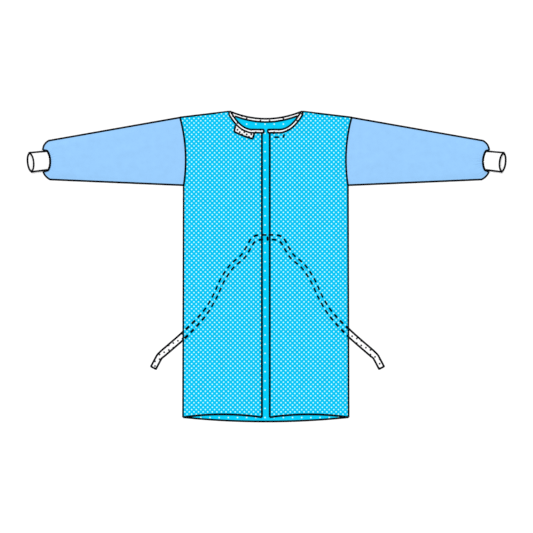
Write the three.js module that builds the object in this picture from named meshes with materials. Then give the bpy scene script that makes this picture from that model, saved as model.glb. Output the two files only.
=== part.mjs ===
// Procedure gown of thin nonwoven cloth, laid flat with its back opening upwards. Sizes in millimetres.
// +X runs along the sleeves, +Y towards the neck and +Z away from the surface that the gown lies on.
// The one-piece front lies undermost, the two back halves lie on it, and the belt runs under the front.
import * as THREE from "three";

// Walls and the clearance left between neighbouring pieces.
const CLOTH = 1.2;
const TAPE = 1;
const KNIT = 2;
const GAP = 0.3;
const ARMHOLE_GAP = 0.45;
const TAPE_STEP = TAPE + GAP;
const LAYER_STEP = CLOTH + GAP;

// Body outline: half widths and heights along Y.
const SIDE_HEM_X = 318.5;
const SIDE_HEM_Y = -580.1;
const FRONT_HEM_SAG = 16.4;
const BACK_HEM_ARCH = 11.3;
const UNDERARM_Y = 313.5;
const ARMHOLE_NARROW_X = 308.4;
const ARMHOLE_NARROW_Y = 410.1;
const SHOULDER_TIP_X = 330;
const SHOULDER_TIP_Y = 573.2;
const ARMHOLE_STEPS = 6;
const OPENING_X = 15.2;

// Neck: both curves start from the shoulder corners; the front one is a shallow arc, the back one a U.
const NECK_X = 134;
const NECK_Y = 596.5;
const FRONT_NECK_Y = 569.9;
const BACK_NECK_Y = 529.5;
const BACK_NECK_FLAT_X = 55;
const BACK_NECK_PULL_X = 96;
const NECK_INSET = 2.2;

// Neck binding: a tape folded over the cloth edge.
const BIND_WIDTH = 15;
const BIND_FOLD_ROUND = 0.4;
const BIND_END_X = 8;
const BIND_END_ROUND = 4;
const BIND_SHOULDER_X = 143.5;
const BIND_TURN = 0.95;
const EDGE_HALVINGS = 24;
const FRONT_BIND_END_X = 129;
const FRONT_BIND_CLEAR = 1;
const FRONT_BIND_STEPS = 28;
const BIND_STRAIGHT = 0.35;
const BIND_END_STATIONS = [0, 0.01, 0.03];
const BIND_STRAIGHT_START = 0.06;
const BIND_STRAIGHT_STEPS = 3;
const BIND_BENT_STEPS = 20;

// How far the cloth stays lifted by the tape inside it, and how softly it comes down again.
const FRONT_LIFT_FLAT = 17;
const BACK_LIFT_FLAT = 36;
const FRONT_LIFT_RAMP = 50;
const BACK_LIFT_RAMP = 34;

// Belt: half its course from its middle, as distance out along X and height along Y.
const BELT_WIDTH = 22;
const BELT_MIDDLE_X = 6.5;
const BELT_CLEAR = 3;
const BELT_RAMP = 12;
const BELT_STEPS = 48;
const BELT_COURSE = [
  { out: 0, y: 113.1 },
  { out: 34.6, y: 111.5 },
  { out: 48, y: 107 },
  { out: 60.4, y: 95.5 },
  { out: 76.6, y: 66.6 },
  { out: 94.3, y: 39.5 },
  { out: 138.6, y: -0.5 },
  { out: 174.4, y: -54 },
  { out: 202, y: -114.3 },
  { out: 235, y: -170.6 },
  { out: 275, y: -217.8 },
  { out: 325, y: -266.8 },
  { out: 405, y: -336.5 },
  { out: 416, y: -347 },
  { out: 421.5, y: -356.5 },
  { out: 440, y: -391.4 },
];

// Neck closure: the loop tab lies on the left back half, the hook tab under the right one.
const LOOP_TAB = { x0: 121.7, y0: 518.9, x1: 50.4, y1: 491.8, x2: 44.3, y2: 513.7, x3: 116.7, y3: 543.4 };
const LOOP_TAB_BOW = 2.3;
const HOOK_TAB = { inner: 22, outer: 66.8, bottom: 497.5, slantX: 4.8, slantY: 10.8 };
const TAB_STEPS = 6;
const TAB_ROWS = [0, 0.5, 1];

// Sleeve: a flattened tube from the armhole to the wrist, where it is gathered onto the cuff.
const SLEEVE_TOP = { x: 835.5, y: 484.1 };
const SLEEVE_UNDER = { x: 830, y: 335.5 };
const SLEEVE_BOW = 27;
const SLEEVE_STATIONS = [0, 0.12, 0.25, 0.38, 0.5, 0.62, 0.73, 0.83, 0.92, 1];
const WRIST_STATIONS = [0.25, 0.5, 0.75, 1];
const WRIST_HEIGHT = 5.6;
const HORN_SHARE = 0.125;
const HORN_TOP = { x: 857.8, y: 448.2, bulgeX: 5, bulgeY: 3 };
const HORN_UNDER = { x: 856.6, y: 364.9, bulgeX: 2.9, bulgeY: -2.6 };
const GATHERS = 6;
const GATHER_POINTS = 4;
const GATHER_HEIGHT = 0.8;
const GATHER_START = 0.8;
const GATHER_AT_END = 0.6;
const SLEEVE_DOME = 1.3;
const DOME_LENGTH = 0.9;
const SLEEVE_LOWER_POINTS = 16;

// Cuff: a soft knitted tube whose lower wall shows beyond the upper one at the mouth.
const CUFF_SEAM_TOP = { x: 842.6, y: 444.8 };
const CUFF_SEAM_UNDER = { x: 838.3, y: 371.3 };
const CUFF_MOUTH_TOP = { x: 909.4, y: 440.2 };
const CUFF_MOUTH_UNDER = { x: 900.9, y: 362 };
const CUFF_SEAM_BOW = 11.7;
const CUFF_MOUTH_BACK = 12.8;
const CUFF_MOUTH_OUT = 11.4;
const RIGHT_CUFF_PULLED = 6;
const HORN_FOLLOWS = 0.25;
const CUFF_STATIONS = [0, 0.3, 0.6, 0.85, 1];
const CUFF_POINTS = 14;
const CUFF_SEAM_HEIGHT = 5.8;
const CUFF_MOUTH_HEIGHT = 12;

// Soft folds of the upper layer: middle, half length, half width, turn from +X in degrees and height.
const BACK_FOLDS = [
  { x: 205, y: -420, long: 190, wide: 34, turn: 82, high: 1.7 },
  { x: 95, y: -300, long: 170, wide: 30, turn: 96, high: 1.3 },
  { x: 250, y: 60, long: 150, wide: 32, turn: 74, high: 1.5 },
  { x: 120, y: 270, long: 140, wide: 34, turn: 104, high: 1.2 },
  { x: -190, y: -380, long: 200, wide: 36, turn: 100, high: 1.6 },
  { x: -80, y: -470, long: 120, wide: 28, turn: 84, high: 1.2 },
  { x: -235, y: 110, long: 160, wide: 34, turn: 108, high: 1.5 },
  { x: -110, y: 300, long: 120, wide: 32, turn: 78, high: 1.2 },
];
const FOLD_FREE = 40;

const FOLD_ROUND_STEPS = 4;
const CURVE_SAMPLES = 24;
const MEETING_TURNS = 12;
const SLOPE_STEP = 0.5;

const CLOTH_BLUE = 0x1fc4f5;
const SLEEVE_BLUE = 0x9acefe;
const WHITE = 0xf7f8fa;
const CLOTH_ROUGH = 0.85;
const TAPE_ROUGH = 0.8;
const KNIT_ROUGH = 0.9;

// ---------------------------------------------------------------- numbers and curves

function mix(a, b, share) {
  return a + (b - a) * share;
}

function soft(share) {
  const s = Math.min(Math.max(share, 0), 1);
  return s * s * (3 - 2 * s);
}

function armholeX(y) {
  const share = (y - ARMHOLE_NARROW_Y) / (SHOULDER_TIP_Y - ARMHOLE_NARROW_Y);
  return ARMHOLE_NARROW_X + (SHOULDER_TIP_X - ARMHOLE_NARROW_X) * share * share;
}

const ARMHOLE_STEP = (SHOULDER_TIP_Y - UNDERARM_Y) / ARMHOLE_STEPS;

// The body's half width: straight side seam, then the armhole in chords.
function halfWidth(y) {
  if (y <= UNDERARM_Y) {
    return mix(armholeX(UNDERARM_Y), SIDE_HEM_X, (UNDERARM_Y - y) / (UNDERARM_Y - SIDE_HEM_Y));
  }
  const place = Math.min((y - UNDERARM_Y) / ARMHOLE_STEP, ARMHOLE_STEPS);
  const low = Math.min(Math.floor(place), ARMHOLE_STEPS - 1);
  const lowX = armholeX(UNDERARM_Y + low * ARMHOLE_STEP);
  const highX = armholeX(UNDERARM_Y + (low + 1) * ARMHOLE_STEP);
  return mix(lowX, highX, place - low);
}

function shoulderY(x) {
  return mix(NECK_Y, SHOULDER_TIP_Y, (Math.abs(x) - NECK_X) / (SHOULDER_TIP_X - NECK_X));
}

function frontNeckY(x) {
  return FRONT_NECK_Y + (NECK_Y - FRONT_NECK_Y) * (x / NECK_X) ** 2;
}

// Share along the bent part of a U-shaped edge at a distance x from the middle.
function bendShare(x, flat, pull, end) {
  const first = 2 * (pull - flat);
  const second = end - 2 * pull + flat;
  const run = Math.max(Math.abs(x) - flat, 0);
  return (2 * run) / (first + Math.sqrt(first * first + 4 * second * run));
}

function backNeckY(x) {
  const share = bendShare(x, BACK_NECK_FLAT_X, BACK_NECK_PULL_X, NECK_X);
  return BACK_NECK_Y + (NECK_Y - BACK_NECK_Y) * share * share;
}

// Fold line and free edge of the back binding on the bent part: one tape width apart up to the turn
// at the shoulder seam.
function bentBinding(t) {
  const bend = (a, b, c) => (1 - t) * (1 - t) * a + 2 * t * (1 - t) * b + t * t * c;
  const foldX = bend(BACK_NECK_FLAT_X, BACK_NECK_PULL_X, NECK_X);
  const foldY = bend(BACK_NECK_Y, BACK_NECK_Y, NECK_Y);
  if (t > BIND_TURN) {
    const part = (t - BIND_TURN) / (1 - BIND_TURN);
    const [, , turnX, turnY] = bentBinding(BIND_TURN);
    const edgeX = mix(turnX, BIND_SHOULDER_X, part);
    return [foldX, foldY, edgeX, mix(turnY, shoulderY(BIND_SHOULDER_X), part)];
  }
  const run = mix(BACK_NECK_PULL_X - BACK_NECK_FLAT_X, NECK_X - BACK_NECK_PULL_X, t);
  const rise = t * (NECK_Y - BACK_NECK_Y);
  const reach = BIND_WIDTH / Math.hypot(run, rise);
  return [foldX, foldY, foldX + rise * reach, foldY - run * reach];
}

// Height of the back binding's free edge at a distance x from the middle.
function bindEdgeY(x) {
  if (Math.abs(x) < BACK_NECK_FLAT_X) {
    return BACK_NECK_Y - BIND_WIDTH;
  }
  let low = 0;
  let high = 1;
  for (let turn = 0; turn < EDGE_HALVINGS; turn += 1) {
    const t = (low + high) / 2;
    if (bentBinding(t)[2] < Math.abs(x)) {
      low = t;
    } else {
      high = t;
    }
  }
  return bentBinding(low)[3];
}

function steepness(curve, x) {
  const slope = curve(x + 1) - curve(x);
  return Math.sqrt(1 + slope * slope);
}

function frontTopY(x) {
  return Math.min(shoulderY(x), frontNeckY(x) - NECK_INSET * steepness(frontNeckY, Math.abs(x)));
}

function backTopY(x) {
  return Math.min(shoulderY(x), backNeckY(x) - NECK_INSET * steepness(backNeckY, Math.abs(x)));
}

function frontHemY(x) {
  return SIDE_HEM_Y - FRONT_HEM_SAG * (1 - (x / SIDE_HEM_X) ** 2);
}

function backHemY(x) {
  const share = (Math.abs(x) - OPENING_X) / (SIDE_HEM_X - OPENING_X);
  return SIDE_HEM_Y + BACK_HEM_ARCH * 4 * share * (1 - share);
}

// Height of the belt's middle line, a smooth curve through its course.
function courseSlope(row) {
  if (row === 0) {
    return 0;
  }
  const before = BELT_COURSE[row - 1];
  const after = BELT_COURSE[Math.min(row + 1, BELT_COURSE.length - 1)];
  return (after.y - before.y) / (after.out - before.out);
}

function courseY(out) {
  let row = 0;
  while (row < BELT_COURSE.length - 2 && BELT_COURSE[row + 1].out < out) {
    row += 1;
  }
  const from = BELT_COURSE[row];
  const to = BELT_COURSE[row + 1];
  const run = to.out - from.out;
  const s = (out - from.out) / run;
  const start = (1 + 2 * s) * (1 - s) * (1 - s) * from.y + s * (1 - s) * (1 - s) * run * courseSlope(row);
  const end = s * s * (3 - 2 * s) * to.y + s * s * (s - 1) * run * courseSlope(row + 1);
  return start + end;
}

function beltY(x) {
  return courseY(Math.abs(x - BELT_MIDDLE_X));
}

// ---------------------------------------------------------------- heights of the layers

function distanceToCurve(curve, x, y) {
  let nearest = Infinity;
  for (let k = 0; k <= CURVE_SAMPLES; k += 1) {
    const cx = (NECK_X * k) / CURVE_SAMPLES;
    nearest = Math.min(nearest, Math.hypot(Math.abs(x) - cx, y - curve(cx)));
  }
  return nearest;
}

function neckLift(curve, flat, ramp, x, y) {
  return TAPE_STEP * soft(1 - (distanceToCurve(curve, x, y) - flat) / ramp);
}

// Underside of the front: on the surface, lifted by the neck tape; the belt's lift is in the panel rows.
function frontBase(x, y) {
  return neckLift(frontNeckY, FRONT_LIFT_FLAT, FRONT_LIFT_RAMP, x, y);
}

function foldHeight(x, y) {
  let height = 0;
  for (const fold of BACK_FOLDS) {
    const turn = THREE.MathUtils.degToRad(fold.turn);
    const along = (x - fold.x) * Math.cos(turn) + (y - fold.y) * Math.sin(turn);
    const across = (y - fold.y) * Math.cos(turn) - (x - fold.x) * Math.sin(turn);
    height += fold.high * Math.exp(-((along / fold.long) ** 2) - (across / fold.wide) ** 2);
  }
  const side = soft((halfWidth(y) - Math.abs(x)) / FOLD_FREE);
  const opening = soft((Math.abs(x) - OPENING_X) / FOLD_FREE);
  const neck = soft((distanceToCurve(backNeckY, x, y) - BACK_LIFT_FLAT) / FOLD_FREE);
  return height * side * opening * neck;
}

// Underside of a back half, which lies on the front and on its own binding.
function backBase(x, y) {
  const bound = neckLift(backNeckY, BACK_LIFT_FLAT, BACK_LIFT_RAMP, x, y);
  return frontBase(x, y) + LAYER_STEP + bound + foldHeight(x, y);
}

// ---------------------------------------------------------------- solids from grids

function meshOf(name, points, triangles, color, roughness) {
  const geometry = new THREE.BufferGeometry();
  geometry.setAttribute("position", new THREE.Float32BufferAttribute(points.flat(), 3));
  geometry.setIndex(triangles.flat());
  geometry.computeVertexNormals();
  const material = new THREE.MeshStandardMaterial({ color, roughness, metalness: 0 });
  const mesh = new THREE.Mesh(geometry, material);
  mesh.name = name;
  return mesh;
}

function quad(a, b, c, d) {
  return [
    [a, b, c],
    [a, c, d],
  ];
}

// A sheet: grid[i][j] is a point of the underside, i counts along +X and j along +Y.
function sheetMesh(name, grid, wall, color, roughness) {
  const columns = grid.length;
  const rows = grid[0].length;
  const under = grid.flat();
  const over = under.map(([x, y, z]) => [x, y, z + wall]);
  const upper = under.length;
  const at = (i, j) => i * rows + j;
  const triangles = [];
  for (let i = 0; i < columns - 1; i += 1) {
    for (let j = 0; j < rows - 1; j += 1) {
      const corners = [at(i, j), at(i + 1, j), at(i + 1, j + 1), at(i, j + 1)];
      triangles.push(...quad(...corners.map((n) => n + upper)));
      triangles.push([corners[0], corners[2], corners[1]], [corners[0], corners[3], corners[2]]);
    }
  }
  const rim = [];
  for (let i = 0; i < columns - 1; i += 1) {
    rim.push(at(i, 0));
  }
  for (let j = 0; j < rows - 1; j += 1) {
    rim.push(at(columns - 1, j));
  }
  for (let i = columns - 1; i > 0; i -= 1) {
    rim.push(at(i, rows - 1));
  }
  for (let j = rows - 1; j > 0; j -= 1) {
    rim.push(at(0, j));
  }
  rim.forEach((from, n) => {
    const to = rim[(n + 1) % rim.length];
    triangles.push(...quad(from, to, to + upper, from + upper));
  });
  return meshOf(name, [...under, ...over], triangles, color, roughness);
}

// A bar of equal closed sections, capped at both ends; each section runs the same way round.
function barMesh(name, sections, flat, color, roughness) {
  const around = sections[0].length;
  const triangles = [];
  for (let k = 0; k < sections.length - 1; k += 1) {
    for (let n = 0; n < around; n += 1) {
      const next = (n + 1) % around;
      const from = k * around;
      const to = from + around;
      triangles.push(...quad(from + n, from + next, to + next, to + n));
    }
  }
  const outline = flat.map(([u, v]) => new THREE.Vector2(u, v));
  const last = (sections.length - 1) * around;
  for (const [a, b, c] of THREE.ShapeUtils.triangulateShape(outline, [])) {
    triangles.push([a, c, b], [last + a, last + b, last + c]);
  }
  return facingOut(meshOf(name, sections.flat(), triangles, color, roughness));
}

// A tube of outer and inner rings, open at both ends.
function tubeMesh(name, outer, inner, color, roughness) {
  const around = outer[0].length;
  const shift = outer.length * around;
  const triangles = [];
  for (let k = 0; k < outer.length - 1; k += 1) {
    for (let n = 0; n < around; n += 1) {
      const next = (n + 1) % around;
      const a = k * around + n;
      const b = k * around + next;
      triangles.push(...quad(a, b, b + around, a + around));
      triangles.push(...quad(b + shift, a + shift, a + around + shift, b + around + shift));
    }
  }
  const last = (outer.length - 1) * around;
  for (let n = 0; n < around; n += 1) {
    const next = (n + 1) % around;
    triangles.push(...quad(next, n, n + shift, next + shift));
    triangles.push(...quad(last + n, last + next, last + next + shift, last + n + shift));
  }
  return facingOut(meshOf(name, [...outer.flat(), ...inner.flat()], triangles, color, roughness));
}

// Turns every face over when the body's volume comes out negative.
function facingOut(mesh) {
  const place = mesh.geometry.getAttribute("position");
  const index = mesh.geometry.getIndex();
  const corner = [new THREE.Vector3(), new THREE.Vector3(), new THREE.Vector3()];
  let volume = 0;
  for (let n = 0; n < index.count; n += 3) {
    corner.forEach((point, k) => point.fromBufferAttribute(place, index.getX(n + k)));
    volume += corner[0].dot(corner[1].cross(corner[2]));
  }
  if (volume < 0) {
    for (let n = 0; n < index.count; n += 3) {
      const kept = index.getX(n);
      index.setX(n, index.getX(n + 1));
      index.setX(n + 1, kept);
    }
    mesh.geometry.computeVertexNormals();
  }
  return mesh;
}

// ---------------------------------------------------------------- body panels

const STEPS = { opening: 2, neck: 6, corner: 3, shoulder: 6, skirt: 8, waist: 4, chest: 4 };
const CORNER_RUN_X = 40;

function steps(from, to, count) {
  return Array.from({ length: count }, (_, k) => mix(from, to, (k + 1) / count));
}

// Column shares from the opening edge to the side, with one column at each change of the neck edge.
function columnShares() {
  const share = (x) => (x - OPENING_X) / (SHOULDER_TIP_X - OPENING_X);
  return [
    0,
    ...steps(0, share(BACK_NECK_FLAT_X), STEPS.opening),
    ...steps(share(BACK_NECK_FLAT_X), share(NECK_X), STEPS.neck),
    ...steps(share(NECK_X), share(NECK_X + CORNER_RUN_X), STEPS.corner),
    ...steps(share(NECK_X + CORNER_RUN_X), 1, STEPS.shoulder),
  ];
}

const SHARES = columnShares();
const TOP_ROWS = [1.67, 1.33, 1, 0.75, 0.5, 0.25, 0];

// Point of a column where it meets a curve y(x).
function meeting(side, share, curve) {
  let y = 0;
  let x = 0;
  for (let turn = 0; turn < MEETING_TURNS; turn += 1) {
    x = side * mix(OPENING_X, halfWidth(y), share);
    y = curve(x);
  }
  return y;
}

function beltRow(offset) {
  return (x) => beltY(x) + offset * steepness(beltY, x);
}

// One column of a panel from hem to top; the belt rows carry the lift over the belt.
function panelColumn(xAt, hem, top, yAt, base) {
  const lifted = BELT_WIDTH / 2 + BELT_CLEAR;
  const free = lifted + BELT_RAMP;
  const hemY = yAt(hem);
  const topY = yAt(top);
  const low = yAt(beltRow(-free));
  const high = yAt(beltRow(free));
  const chest = topY - 2 * ARMHOLE_STEP;
  const rows = [
    { y: hemY, lift: 0 },
    ...steps(hemY, low, STEPS.skirt).map((y) => ({ y, lift: 0 })),
    { y: yAt(beltRow(-lifted)), lift: TAPE_STEP },
    { y: yAt(beltRow(lifted)), lift: TAPE_STEP },
    { y: high, lift: 0 },
    ...steps(high, UNDERARM_Y, STEPS.waist).map((y) => ({ y, lift: 0 })),
    ...steps(UNDERARM_Y, chest, STEPS.chest).map((y) => ({ y, lift: 0 })),
    ...TOP_ROWS.map((share) => ({ y: topY - share * ARMHOLE_STEP, lift: 0 })),
  ];
  return rows.map(({ y, lift }) => {
    const x = xAt(y);
    return [x, y, base(x, y) + lift];
  });
}

function sideColumns(side, hem, top, base) {
  return SHARES.map((share) => {
    const xAt = (y) => side * mix(OPENING_X, halfWidth(y), share);
    return panelColumn(xAt, hem, top, (curve) => meeting(side, share, curve), base);
  });
}

function frontPanel() {
  const left = sideColumns(-1, frontHemY, frontTopY, frontBase).reverse();
  const right = sideColumns(1, frontHemY, frontTopY, frontBase);
  const middle = panelColumn(() => 0, frontHemY, frontTopY, (curve) => curve(0), frontBase);
  return sheetMesh("front", [...left, middle, ...right], CLOTH, CLOTH_BLUE, CLOTH_ROUGH);
}

function backPanel(name, side) {
  const columns = sideColumns(side, backHemY, backTopY, backBase);
  return sheetMesh(name, side < 0 ? columns.reverse() : columns, CLOTH, CLOTH_BLUE, CLOTH_ROUGH);
}

// ---------------------------------------------------------------- neck binding

const BIND_TALL = 2 * TAPE + CLOTH + 2 * GAP;

// The folded tape's section: distance in from the fold and height over its base.
function bindSection(lower, upper) {
  const top = BIND_TALL;
  const round = BIND_FOLD_ROUND;
  return [
    [lower, 0],
    [lower, TAPE],
    [TAPE, TAPE],
    [TAPE, top - TAPE],
    [upper, top - TAPE],
    [upper, top],
    [round, top],
    [0, top - round],
    [0, round],
    [round, 0],
  ];
}

function frontBinding() {
  const flat = bindSection(BIND_WIDTH, BIND_WIDTH);
  const sections = Array.from({ length: FRONT_BIND_STEPS + 1 }, (_, k) => {
    const x = mix(-FRONT_BIND_END_X, FRONT_BIND_END_X, k / FRONT_BIND_STEPS);
    const shows = frontNeckY(x) - backNeckY(x) - FRONT_BIND_CLEAR;
    const upper = Math.min(BIND_WIDTH, shows);
    return bindSection(BIND_WIDTH, upper).map(([inward, z]) => [x, frontNeckY(x) - inward, z]);
  });
  return barMesh("neck_binding_front", sections, flat, WHITE, TAPE_ROUGH);
}

// Fold line and free edge of the back binding at a share of its length.
function backBindLines(share) {
  if (share < BIND_STRAIGHT) {
    const x = mix(BIND_END_X, BACK_NECK_FLAT_X, share / BIND_STRAIGHT);
    const short = Math.max(BIND_END_ROUND - (x - BIND_END_X), 0) / BIND_END_ROUND;
    const round = BIND_END_ROUND * (1 - Math.sqrt(1 - short * short));
    return [x, BACK_NECK_Y - round, x, BACK_NECK_Y - BIND_WIDTH + round];
  }
  return bentBinding((share - BIND_STRAIGHT) / (1 - BIND_STRAIGHT));
}

function backBinding(name, side) {
  const flat = bindSection(BIND_WIDTH, BIND_WIDTH);
  const shares = [
    ...BIND_END_STATIONS,
    ...steps(BIND_STRAIGHT_START, BIND_STRAIGHT, BIND_STRAIGHT_STEPS),
    ...steps(BIND_STRAIGHT, 1, BIND_BENT_STEPS),
  ];
  const sections = shares.map((share) => {
    const [foldX, foldY, edgeX, edgeY] = backBindLines(share);
    const width = Math.hypot(edgeX - foldX, edgeY - foldY);
    return bindSection(width, width).map(([inward, z]) => {
      const x = side * mix(foldX, edgeX, inward / width);
      const y = mix(foldY, edgeY, inward / width);
      return [x, y, frontBase(x, y) + LAYER_STEP + z];
    });
  });
  return barMesh(name, sections, flat, WHITE, TAPE_ROUGH);
}

// ---------------------------------------------------------------- closure tabs

function loopTab() {
  const low = (s) => {
    const y = mix(LOOP_TAB.y0, LOOP_TAB.y1, s) - LOOP_TAB_BOW * 4 * s * (1 - s);
    return [-mix(LOOP_TAB.x0, LOOP_TAB.x1, s), y];
  };
  const high = (s) => {
    const x = -mix(LOOP_TAB.x3, LOOP_TAB.x2, s);
    const free = bindEdgeY(x) - GAP * steepness(bindEdgeY, Math.abs(x)) - GAP;
    return [x, Math.min(mix(LOOP_TAB.y3, LOOP_TAB.y2, s), free)];
  };
  const grid = Array.from({ length: TAB_STEPS + 1 }, (_, i) => {
    const from = low(i / TAB_STEPS);
    const to = high(i / TAB_STEPS);
    return TAB_ROWS.map((share) => {
      const x = mix(from[0], to[0], share);
      const y = mix(from[1], to[1], share);
      return [x, y, backBase(x, y) + LAYER_STEP];
    });
  });
  return sheetMesh("loop_tab", grid, TAPE, WHITE, KNIT_ROUGH);
}

function hookTab() {
  const top = BACK_NECK_Y - BIND_WIDTH - GAP;
  const grid = Array.from({ length: TAB_STEPS + 1 }, (_, i) => {
    const x0 = mix(HOOK_TAB.inner, HOOK_TAB.outer, i / TAB_STEPS);
    const lean = (HOOK_TAB.slantX * i) / TAB_STEPS;
    return TAB_ROWS.map((share) => {
      const y = mix(HOOK_TAB.bottom, top, share);
      const x = x0 + lean * Math.min((y - HOOK_TAB.bottom) / HOOK_TAB.slantY, 1);
      return [x, y, frontBase(x, y) + LAYER_STEP];
    });
  });
  return sheetMesh("hook_tab", grid, TAPE, WHITE, KNIT_ROUGH);
}

// ---------------------------------------------------------------- sleeves and cuffs

// Both rings of a flattened tube. path(q) runs from the under fold to the top fold for each wall.
function flatRings({ under, top, upperPath, lowerPath, height, wall, lift, upperCount, lowerShares }) {
  const radius = height / 2;
  const span = Math.hypot(top.x - under.x, top.y - under.y);
  const ex = (top.x - under.x) / span;
  const ey = (top.y - under.y) / span;
  const ring = (shrink) => {
    const round = radius - shrink;
    const points = [];
    for (let k = 0; k <= upperCount; k += 1) {
      const q = k / upperCount;
      const [x, y] = upperPath(q);
      points.push([x, y, height - shrink + lift(q)]);
    }
    for (let k = 1; k < FOLD_ROUND_STEPS; k += 1) {
      const turn = (Math.PI * k) / FOLD_ROUND_STEPS;
      const [x, y] = upperPath(1);
      const out = round * Math.sin(turn);
      points.push([x + ex * out, y + ey * out, radius + round * Math.cos(turn)]);
    }
    for (const q of [...lowerShares].reverse()) {
      const [x, y] = lowerPath(q);
      points.push([x, y, shrink]);
    }
    for (let k = 1; k < FOLD_ROUND_STEPS; k += 1) {
      const turn = (Math.PI * k) / FOLD_ROUND_STEPS;
      const [x, y] = lowerPath(0);
      const out = round * Math.sin(turn);
      points.push([x - ex * out, y - ey * out, radius - round * Math.cos(turn)]);
    }
    return points;
  };
  return { outer: ring(0), inner: ring(wall) };
}

// Ends of the flat walls: the fold lines moved in by the fold's radius.
function movedIn(under, top, radius) {
  const span = Math.hypot(top.x - under.x, top.y - under.y);
  const ex = ((top.x - under.x) / span) * radius;
  const ey = ((top.y - under.y) / span) * radius;
  return { from: { x: under.x + ex, y: under.y + ey }, to: { x: top.x - ex, y: top.y - ey } };
}

function bowed(ends, bow) {
  return (q) => [mix(ends.from.x, ends.to.x, q) - bow * 4 * q * (1 - q), mix(ends.from.y, ends.to.y, q)];
}

// Where the sleeve ends: along the cuff's side, round its seam and out along its other side. A cuff
// that is pulled further out takes the seam with it and the swellings beside it a little.
function wristPath(q, pulled) {
  const near = Math.min(q, 1 - q);
  const upper = q > 0.5;
  const radius = WRIST_HEIGHT / 2;
  const seamTop = { x: CUFF_SEAM_TOP.x - GAP + pulled, y: CUFF_SEAM_TOP.y + 2 * GAP };
  const seamUnder = { x: CUFF_SEAM_UNDER.x - GAP + pulled, y: CUFF_SEAM_UNDER.y - 2 * GAP };
  if (near < HORN_SHARE) {
    const share = near / HORN_SHARE;
    const corner = upper ? seamTop : seamUnder;
    const tip = upper ? HORN_TOP : HORN_UNDER;
    const tipY = tip.y + (upper ? -radius : radius);
    return [mix(tip.x + pulled * HORN_FOLLOWS, corner.x, share), mix(tipY, corner.y, share)];
  }
  const r = (q - HORN_SHARE) / (1 - 2 * HORN_SHARE);
  const bow = (CUFF_SEAM_BOW + GAP) * 4 * r * (1 - r);
  return [mix(seamUnder.x, seamTop.x, r) - bow, mix(seamUnder.y, seamTop.y, r)];
}

const SLEEVE_UPPER_COUNT = GATHERS * GATHER_POINTS;
const LOWER_SHARES = Array.from({ length: SLEEVE_LOWER_POINTS + 1 }, (_, k) => k / SLEEVE_LOWER_POINTS);

// The armhole end follows the body's edge in the same chords.
function armholePath(q) {
  const y = mix(UNDERARM_Y, SHOULDER_TIP_Y, q);
  return [halfWidth(y) + ARMHOLE_GAP, y];
}

function sleeveStation(along) {
  const height = mix(CLOTH + LAYER_STEP, WRIST_HEIGHT, along * along);
  const tip = { x: SHOULDER_TIP_X + ARMHOLE_GAP, y: SHOULDER_TIP_Y };
  const pit = { x: armholeX(UNDERARM_Y) + ARMHOLE_GAP, y: UNDERARM_Y };
  const top = { x: mix(tip.x, SLEEVE_TOP.x, along), y: mix(tip.y, SLEEVE_TOP.y, along) };
  const under = { x: mix(pit.x, SLEEVE_UNDER.x, along), y: mix(pit.y, SLEEVE_UNDER.y, along) };
  const ends = movedIn(under, top, height / 2);
  const wristBow = bowed(ends, SLEEVE_BOW);
  const foldShare = height / 2 / (SHOULDER_TIP_Y - UNDERARM_Y);
  const path = (q) => {
    const share = along * along;
    const [farX, farY] = wristBow(q);
    const inset = mix(foldShare, 1 - foldShare, q);
    const [nearX] = armholePath(inset);
    const straight = mix(pit.x, tip.x, inset);
    return [mix(mix(ends.from.x, ends.to.x, q) + nearX - straight, farX, share), farY];
  };
  const gather = soft((along - GATHER_START) / (1 - GATHER_START)) * GATHER_AT_END;
  const dome = SLEEVE_DOME * Math.sin(Math.PI * Math.min(along / DOME_LENGTH, 1));
  return { under, top, path, height, dome, gather };
}

function sleeve(name, side, pulled) {
  const outer = [];
  const inner = [];
  const push = (station) => {
    const wave = (q) => Math.sin(2 * Math.PI * GATHERS * q) * Math.sin(Math.PI * q) ** 0.5;
    const lift = (q) => station.dome * 4 * q * (1 - q) + station.gather * GATHER_HEIGHT * wave(q);
    const rings = flatRings({
      under: station.under,
      top: station.top,
      upperPath: station.path,
      lowerPath: station.path,
      height: station.height,
      wall: CLOTH,
      lift,
      upperCount: SLEEVE_UPPER_COUNT,
      lowerShares: LOWER_SHARES,
    });
    outer.push(rings.outer.map(([x, y, z]) => [side * x, y, z]));
    inner.push(rings.inner.map(([x, y, z]) => [side * x, y, z]));
  };
  SLEEVE_STATIONS.forEach((along) => push(sleeveStation(along)));
  const last = sleeveStation(1);
  for (const share of WRIST_STATIONS) {
    const swell = 4 * share * (1 - share);
    const path = (q) => {
      const [x0, y0] = last.path(q);
      const [x1, y1] = wristPath(q, pulled);
      const near = Math.min(q, 1 - q);
      const pull = Math.max(1 - near / HORN_SHARE, 0) ** 2 * swell;
      const horn = q > 0.5 ? HORN_TOP : HORN_UNDER;
      return [mix(x0, x1, share) + pull * horn.bulgeX, mix(y0, y1, share) + pull * horn.bulgeY];
    };
    const hornX = HORN_UNDER.x + pulled * HORN_FOLLOWS;
    const under = { x: mix(last.under.x, hornX, share), y: mix(last.under.y, HORN_UNDER.y, share) };
    const top = { x: under.x, y: mix(last.top.y, HORN_TOP.y, share) };
    push({ under, top, path, height: WRIST_HEIGHT, dome: last.dome, gather: mix(GATHER_AT_END, 1, share) });
  }
  return tubeMesh(name, outer, inner, SLEEVE_BLUE, CLOTH_ROUGH);
}

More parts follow.
